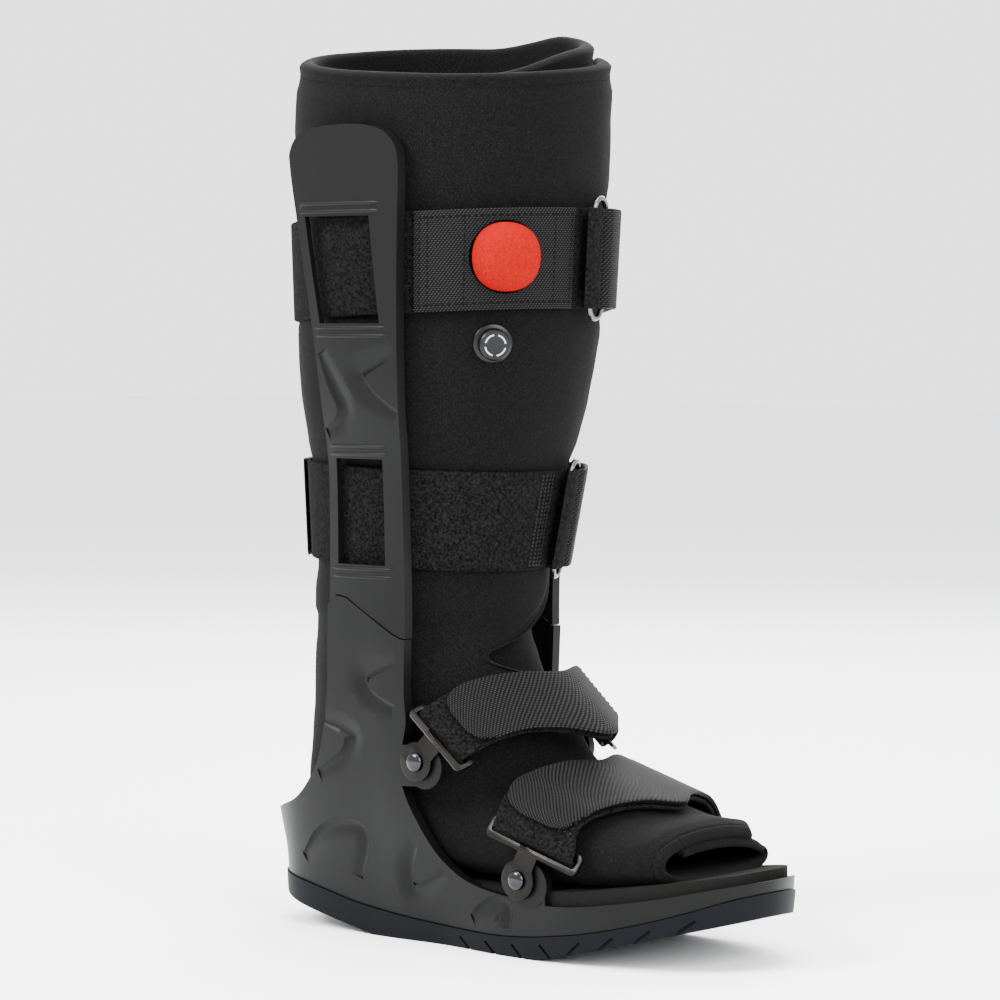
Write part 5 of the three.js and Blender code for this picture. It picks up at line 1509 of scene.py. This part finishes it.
# A band pattern of scale 1 repeats after this many units.
BAND = 0.314
TWILL_PITCH = 1.4
TWILL_TURN = 38


def woven_twill(base):
    """Woven nylon tape: diagonal ribs, drawn about twice as coarse as real so that they show."""
    material, tree, shader = start_material("woven_twill", 0.62)
    uv = add(tree, "ShaderNodeTexCoord").outputs["UV"]
    turned_uv = add(tree, "ShaderNodeMapping", {
        "Vector": uv, "Rotation": (0, 0, math.radians(TWILL_TURN))})
    ribs = add(tree, "ShaderNodeTexWave", {
        "Vector": turned_uv, "Scale": BAND / TWILL_PITCH, "Distortion": 0.6})
    yarn = add(tree, "ShaderNodeTexWave", {"Vector": uv, "Scale": BAND, "Distortion": 0.3},
               bands_direction="Y")
    both = add(tree, "ShaderNodeMath", {0: ribs.outputs["Fac"], 1: yarn.outputs["Fac"]},
               operation="MULTIPLY")
    paint(tree, shader, both, lighter(base, 0.5), lighter(base, 9), 0.12, 0.62)
    relief(tree, shader, both, 0.35, 0.9)
    return material


def flocked_rubber(base):
    """Rubber under a short flock: saturated, matt, with soft speckle."""
    material, tree, shader = start_material("flocked_rubber", 0.9)
    flock = grain(tree, 1.2, 4, 0.75)
    paint(tree, shader, flock, lighter(base, 0.35), lighter(base, 1.5))
    relief(tree, shader, flock, 0.3, 0.7)
    return material


def gloss_nylon(base, name, roughness):
    """Moulded nylon: near black and smooth."""
    material, tree, shader = start_material(name, specular=0.16)
    cloud = grain(tree, 3, 3)
    paint(tree, shader, cloud, base, lighter(base, 1.2))
    roughen(tree, shader, cloud, roughness - 0.04, roughness + 0.06)
    return material


def melted_nylon(base):
    """Nylon melted at a weld, darker than the cloth beside it."""
    return gloss_nylon(lighter(base, 0.5), "weld_mark", 0.4)


def plated_metal(base, name, low, high):
    """Black nickel plated steel: dark, smooth, with faint handling marks."""
    material, tree, shader = start_material(name, specular=0.5)
    cloud = grain(tree, 2.5, 4)
    paint(tree, shader, cloud, lighter(base, 0.8), lighter(base, 1.15))
    roughen(tree, shader, cloud, low, high)
    shader.inputs["Metallic"].default_value = 1.0
    return material


def sewing_thread(base):
    """Spun polyester thread."""
    material, tree, shader = start_material("sewing_thread", 0.7)
    paint(tree, shader, grain(tree, 0.4), base, lighter(base, 2))
    return material


def pale_paper(base):
    """Seamless backdrop paper."""
    material, tree, shader = start_material("pale_paper", 0.9)
    paint(tree, shader, grain(tree, 400, 1), base, lighter(base, 0.99))
    return material


# Each finish: what makes it, its colour setting, and what else the maker takes.
FINISHES = {
    "plastic": (moulded_plastic, "plastic"), "rubber": (sole_rubber, "rubber"),
    "foam": (bed_foam, "foam"), "neoprene": (liner_cloth, "neoprene"),
    "loop": (brushed_loop, "loop_cloth"), "twill": (woven_twill, "twill"),
    "bulb": (flocked_rubber, "bulb"), "valve": (gloss_nylon, "valve", "valve_nylon", 0.3),
    "mark": (gloss_nylon, "mark", "mark_print", 0.5),
    "wire": (plated_metal, "wire", "wire_plating", 0.22, 0.34),
    "steel": (plated_metal, "steel", "plate_plating", 0.25, 0.4),
    "rivet": (plated_metal, "rivet", "rivet_plating", 0.1, 0.2),
    "thread": (sewing_thread, "neoprene"), "weld": (melted_nylon, "neoprene"),
    "floor": (pale_paper, "floor"),
}


def finish_of(name):
    """Each finish is made once."""
    maker, setting, *more = FINISHES[name]
    base = tuple(getattr(bpy.context.scene.boot_colours, setting))
    return once("finish " + name, lambda: maker(base, *more))


# Operators


# The slanted cuts in the outsole's edge: how many, how far they go to the toes as a share of half
# the sole's length, slant and width in millimetres, and reach as a share of the edge's height.
CUTS = {"count": 8, "far": 0.86, "slant": 6, "width": 1.3, "reach": 0.62}


class BOOT_OT_sole(bpy.types.Operator):
    """Makes the outsole with its slanted cuts, and the footbed"""
    bl_idname = "boot.sole"
    bl_label = "Sole and Footbed"

    def execute(self, context):
        sole = make_outsole()
        half = S.sole_length / 2
        low, edge = sole_line("low", 0, 180), sole_line("edge", 0, 180)
        for k in range(CUTS["count"]):
            x = half * CUTS["far"] * k / (CUTS["count"] - 1)
            bottom, rim = [float(np.interp(x, *zip(*line))) for line in (low, edge)]
            slant = CUTS["slant"] * (-1 if k < CUTS["count"] / 2 else 1)
            end = (x + slant / 2, bottom + CUTS["reach"] * (rim - bottom))
            cut = prism(ribbon([(x - slant, bottom - 2), end], CUTS["width"]))
            skin = combine(shell_body(-S.outsole_lip - 2), shell_body(0.4), "DIFFERENCE")
            sole = combine(sole, combine(skin, cut, "INTERSECT"), "DIFFERENCE")
        piece("outsole", sole, "rubber", "rubber_sole")
        piece("footbed", make_footbed(), "foam", "footbed_foam")
        return {"FINISHED"}


class BOOT_OT_shell(bpy.types.Operator):
    """Makes the moulded shell"""
    bl_idname = "boot.shell"
    bl_label = "Shell"

    def execute(self, context):
        piece("shell", make_shell(), "plastic", "shell_plastic")
        return {"FINISHED"}


class BOOT_OT_uprights(bpy.types.Operator):
    """Makes the two uprights with their windows, ribs and chevrons"""
    bl_idname = "boot.uprights"
    bl_label = "Uprights"

    def execute(self, context):
        pair("upright", make_upright(), "plastic", "shell_plastic")
        return {"FINISHED"}


class BOOT_OT_liner(bpy.types.Operator):
    """Makes the padded liner and its stitched edges"""
    bl_idname = "boot.liner"
    bl_label = "Liner"

    def execute(self, context):
        mesh, face = make_liner()
        liner = piece("liner", mesh, "neoprene", "neoprene", angle=80)
        beads("liner_stitches", liner_seams(face, 9), 3.1, (2.2, 0.7, 0.6), "thread", "neoprene")
        return {"FINISHED"}


class BOOT_OT_calf_straps(bpy.types.Operator):
    """Makes the calf straps, their folded tabs, wire rings and weld dots"""
    bl_idname = "boot.calf_straps"
    bl_label = "Calf Straps"

    def execute(self, context):
        for name, strap in CALF_STRAPS.items():
            piece(f"calf_strap_{name}", make_calf_strap(strap), "loop", "loop_cloth", 60)
            piece(f"calf_tab_{name}", make_calf_tab(strap), "twill", "webbing", 60)
            piece(f"calf_ring_{name}", make_ring(strap), "wire", "ring_wire")
        strap = CALF_STRAPS["lower"]
        place, arc = calf_map(strap)
        top = level_out() + S.strap / 2
        start = arc(strap["ring"]) - S.ring_width / 2 - 9
        paths = [strap_path(place, [(start - 2.3 * k, a) for a in np.linspace(0.05, 0.95, 30)], top)
                 for k in range(4)]
        beads("weld_dots_calf", paths, 1.9, (1.3, 1.3, 0.8), "weld", "loop_cloth")
        return {"FINISHED"}


class BOOT_OT_pump(bpy.types.Operator):
    """Makes the pump panel with its stitching, the bulb and the air valve"""
    bl_idname = "boot.pump"
    bl_label = "Pump and Valve"

    def execute(self, context):
        piece("pump_panel", make_pump_panel(), "twill", "webbing", 60)
        piece("pump_bulb", make_bulb(), "bulb", "bulb_rubber", 60)
        piece("valve_base", make_valve_base(), "valve", "valve_plastic")
        piece("valve_knob", make_valve_knob(), "valve", "valve_plastic", body="knob")
        piece("valve_marks", make_valve_marks(), "mark", "valve_plastic", body="knob", extra=True)
        strap = CALF_STRAPS["upper"]
        place, arc = calf_map(strap)
        left, right = arc(PUMP["start"]) + 3, arc(strap["ring"]) - S.ring_width / 2 - 10 - 3
        top = panel_level() + S.strap / 2
        columns = [left, left + 4, left + 22, right - 10, right]
        low, high = 0.07, 0.93
        lines = [[(s, a) for a in np.linspace(low, high, 24)] for s in columns]
        lines += [[(s, a) for s in np.linspace(left, right, 30)] for a in (low, high)]
        paths = [strap_path(place, line, top) for line in lines]
        beads("panel_stitches", paths, 2.9, (2.1, 0.75, 0.6), "thread", "webbing")
        return {"FINISHED"}


class BOOT_OT_foot_straps(bpy.types.Operator):
    """Makes the foot straps, slot plates and rivets, with the weld marks on the tabs"""
    bl_idname = "boot.foot_straps"
    bl_label = "Foot Straps"

    def execute(self, context):
        paths = []
        for name in FOOT_STRAPS:
            piece(f"{name}_strap", make_foot_strap(name), "loop", "loop_cloth", 60)
            piece(f"{name}_tab", make_foot_tab(name), "twill", "webbing", 60)
            pair(f"{name}_plate", make_plate(name), "steel", "plate_steel")
            pair(f"{name}_rivet", make_rivet(name), "rivet", "rivet_steel", 50)
            place, size = foot_map(FOOT_STRAPS[name])
            if name == "ankle":
                over = rail_fold() + 1.5 * S.strap + S.strap_gap
                start, step, low, count = size - 34, -3, 0.08, 13
            else:
                over = rail_fold() + S.strap / 2
                start, step, low, count = 11, 3, 0.5, 8
            for k in range(3):
                line = [(start + step * k, a) for a in np.linspace(low, 0.93, count)]
                paths.append(strap_path(place, line, over))
        beads("weld_dots_foot", paths, 3.2, (1.4, 1.4, 0.8), "weld", "webbing")
        return {"FINISHED"}


# Where the camera stands and what it looks at, in millimetres, read from the photograph's view.
CAMERA_PLACE = (1189.1, -1439.7, 301)
CAMERA_TARGET = (-32.2, 15.8, 210)
CAMERA_LENS = 139.6
FLOOR_REACH = 9000
WORLD_POWER = 2.6
LIGHTS = table(("name", "place", "size", "power"), [
    ("key", (-700, -1500, 1500), 0.8, 110), ("fill", (1700, -500, 1000), 1.1, 80),
    ("back", (-700, 1300, 1400), 1.3, 60), ("top", (100, -100, 2000), 1.3, 70),
])


class BOOT_OT_stage(bpy.types.Operator):
    """Makes the pale floor, the studio lights and the camera"""
    bl_idname = "boot.stage"
    bl_label = "Stage"

    def execute(self, context):
        scene = context.scene
        corners = [(x * FLOOR_REACH, y * FLOOR_REACH, 0)
                   for x, y in ((-1, -1), (1, -1), (1, 1), (-1, 1))]
        floor = bpy.data.objects.new("floor", mesh_of(corners, [(0, 1, 2, 3)], "floor"))
        floor.data.materials.append(finish_of("floor"))
        scene.collection.objects.link(floor)
        target = Vector(CAMERA_TARGET) * MM
        for row in LIGHTS:
            data = bpy.data.lights.new(row["name"], "AREA")
            data.size, data.energy = row["size"], row["power"]
            light = bpy.data.objects.new(row["name"], data)
            light.location = Vector(row["place"]) * MM
            light.rotation_euler = (target - light.location).to_track_quat("-Z", "Y").to_euler()
            scene.collection.objects.link(light)
        world = bpy.data.worlds.new("studio")
        world.use_nodes = True
        sky = world.node_tree.nodes["Background"]
        sky.inputs["Color"].default_value = linear("#ffffff")
        sky.inputs["Strength"].default_value = WORLD_POWER
        scene.world = world
        data = bpy.data.cameras.new("camera")
        data.lens, data.clip_end = CAMERA_LENS, 100
        camera = bpy.data.objects.new("camera", data)
        camera.location = Vector(CAMERA_PLACE) * MM
        camera.rotation_euler = (target - camera.location).to_track_quat("-Z", "Y").to_euler()
        scene.collection.objects.link(camera)
        scene.camera = camera
        return {"FINISHED"}


class BOOT_PT_panel(bpy.types.Panel):
    bl_label = "Walking Boot"
    bl_idname = "BOOT_PT_panel"
    bl_space_type = "VIEW_3D"
    bl_region_type = "UI"
    bl_category = "Walking Boot"

    def draw(self, context):
        for operator in OPERATORS:
            self.layout.operator(operator.bl_idname)
        for group in (context.scene.boot_sizes, context.scene.boot_colours):
            box = self.layout.box()
            for name in group.__annotations__:
                box.prop(group, name)


OPERATORS = (BOOT_OT_sole, BOOT_OT_shell, BOOT_OT_uprights, BOOT_OT_liner, BOOT_OT_calf_straps,
             BOOT_OT_pump, BOOT_OT_foot_straps, BOOT_OT_stage)
CLASSES = (BOOT_PG_sizes, BOOT_PG_colours, *OPERATORS, BOOT_PT_panel)


def register():
    for cls in CLASSES:
        bpy.utils.register_class(cls)
    bpy.types.Scene.boot_sizes = PointerProperty(type=BOOT_PG_sizes)
    bpy.types.Scene.boot_colours = PointerProperty(type=BOOT_PG_colours)


def unregister():
    del bpy.types.Scene.boot_sizes
    del bpy.types.Scene.boot_colours
    for cls in reversed(CLASSES):
        bpy.utils.unregister_class(cls)


def main():
    for name in ("Cube", "Light", "Camera"):
        if name in bpy.data.objects:
            bpy.data.objects.remove(bpy.data.objects[name])
    register()
    bpy.ops.boot.sole()
    bpy.ops.boot.shell()
    bpy.ops.boot.uprights()
    bpy.ops.boot.liner()
    bpy.ops.boot.calf_straps()
    bpy.ops.boot.pump()
    bpy.ops.boot.foot_straps()
    bpy.ops.boot.stage()


if __name__ == "__main__":
    main()
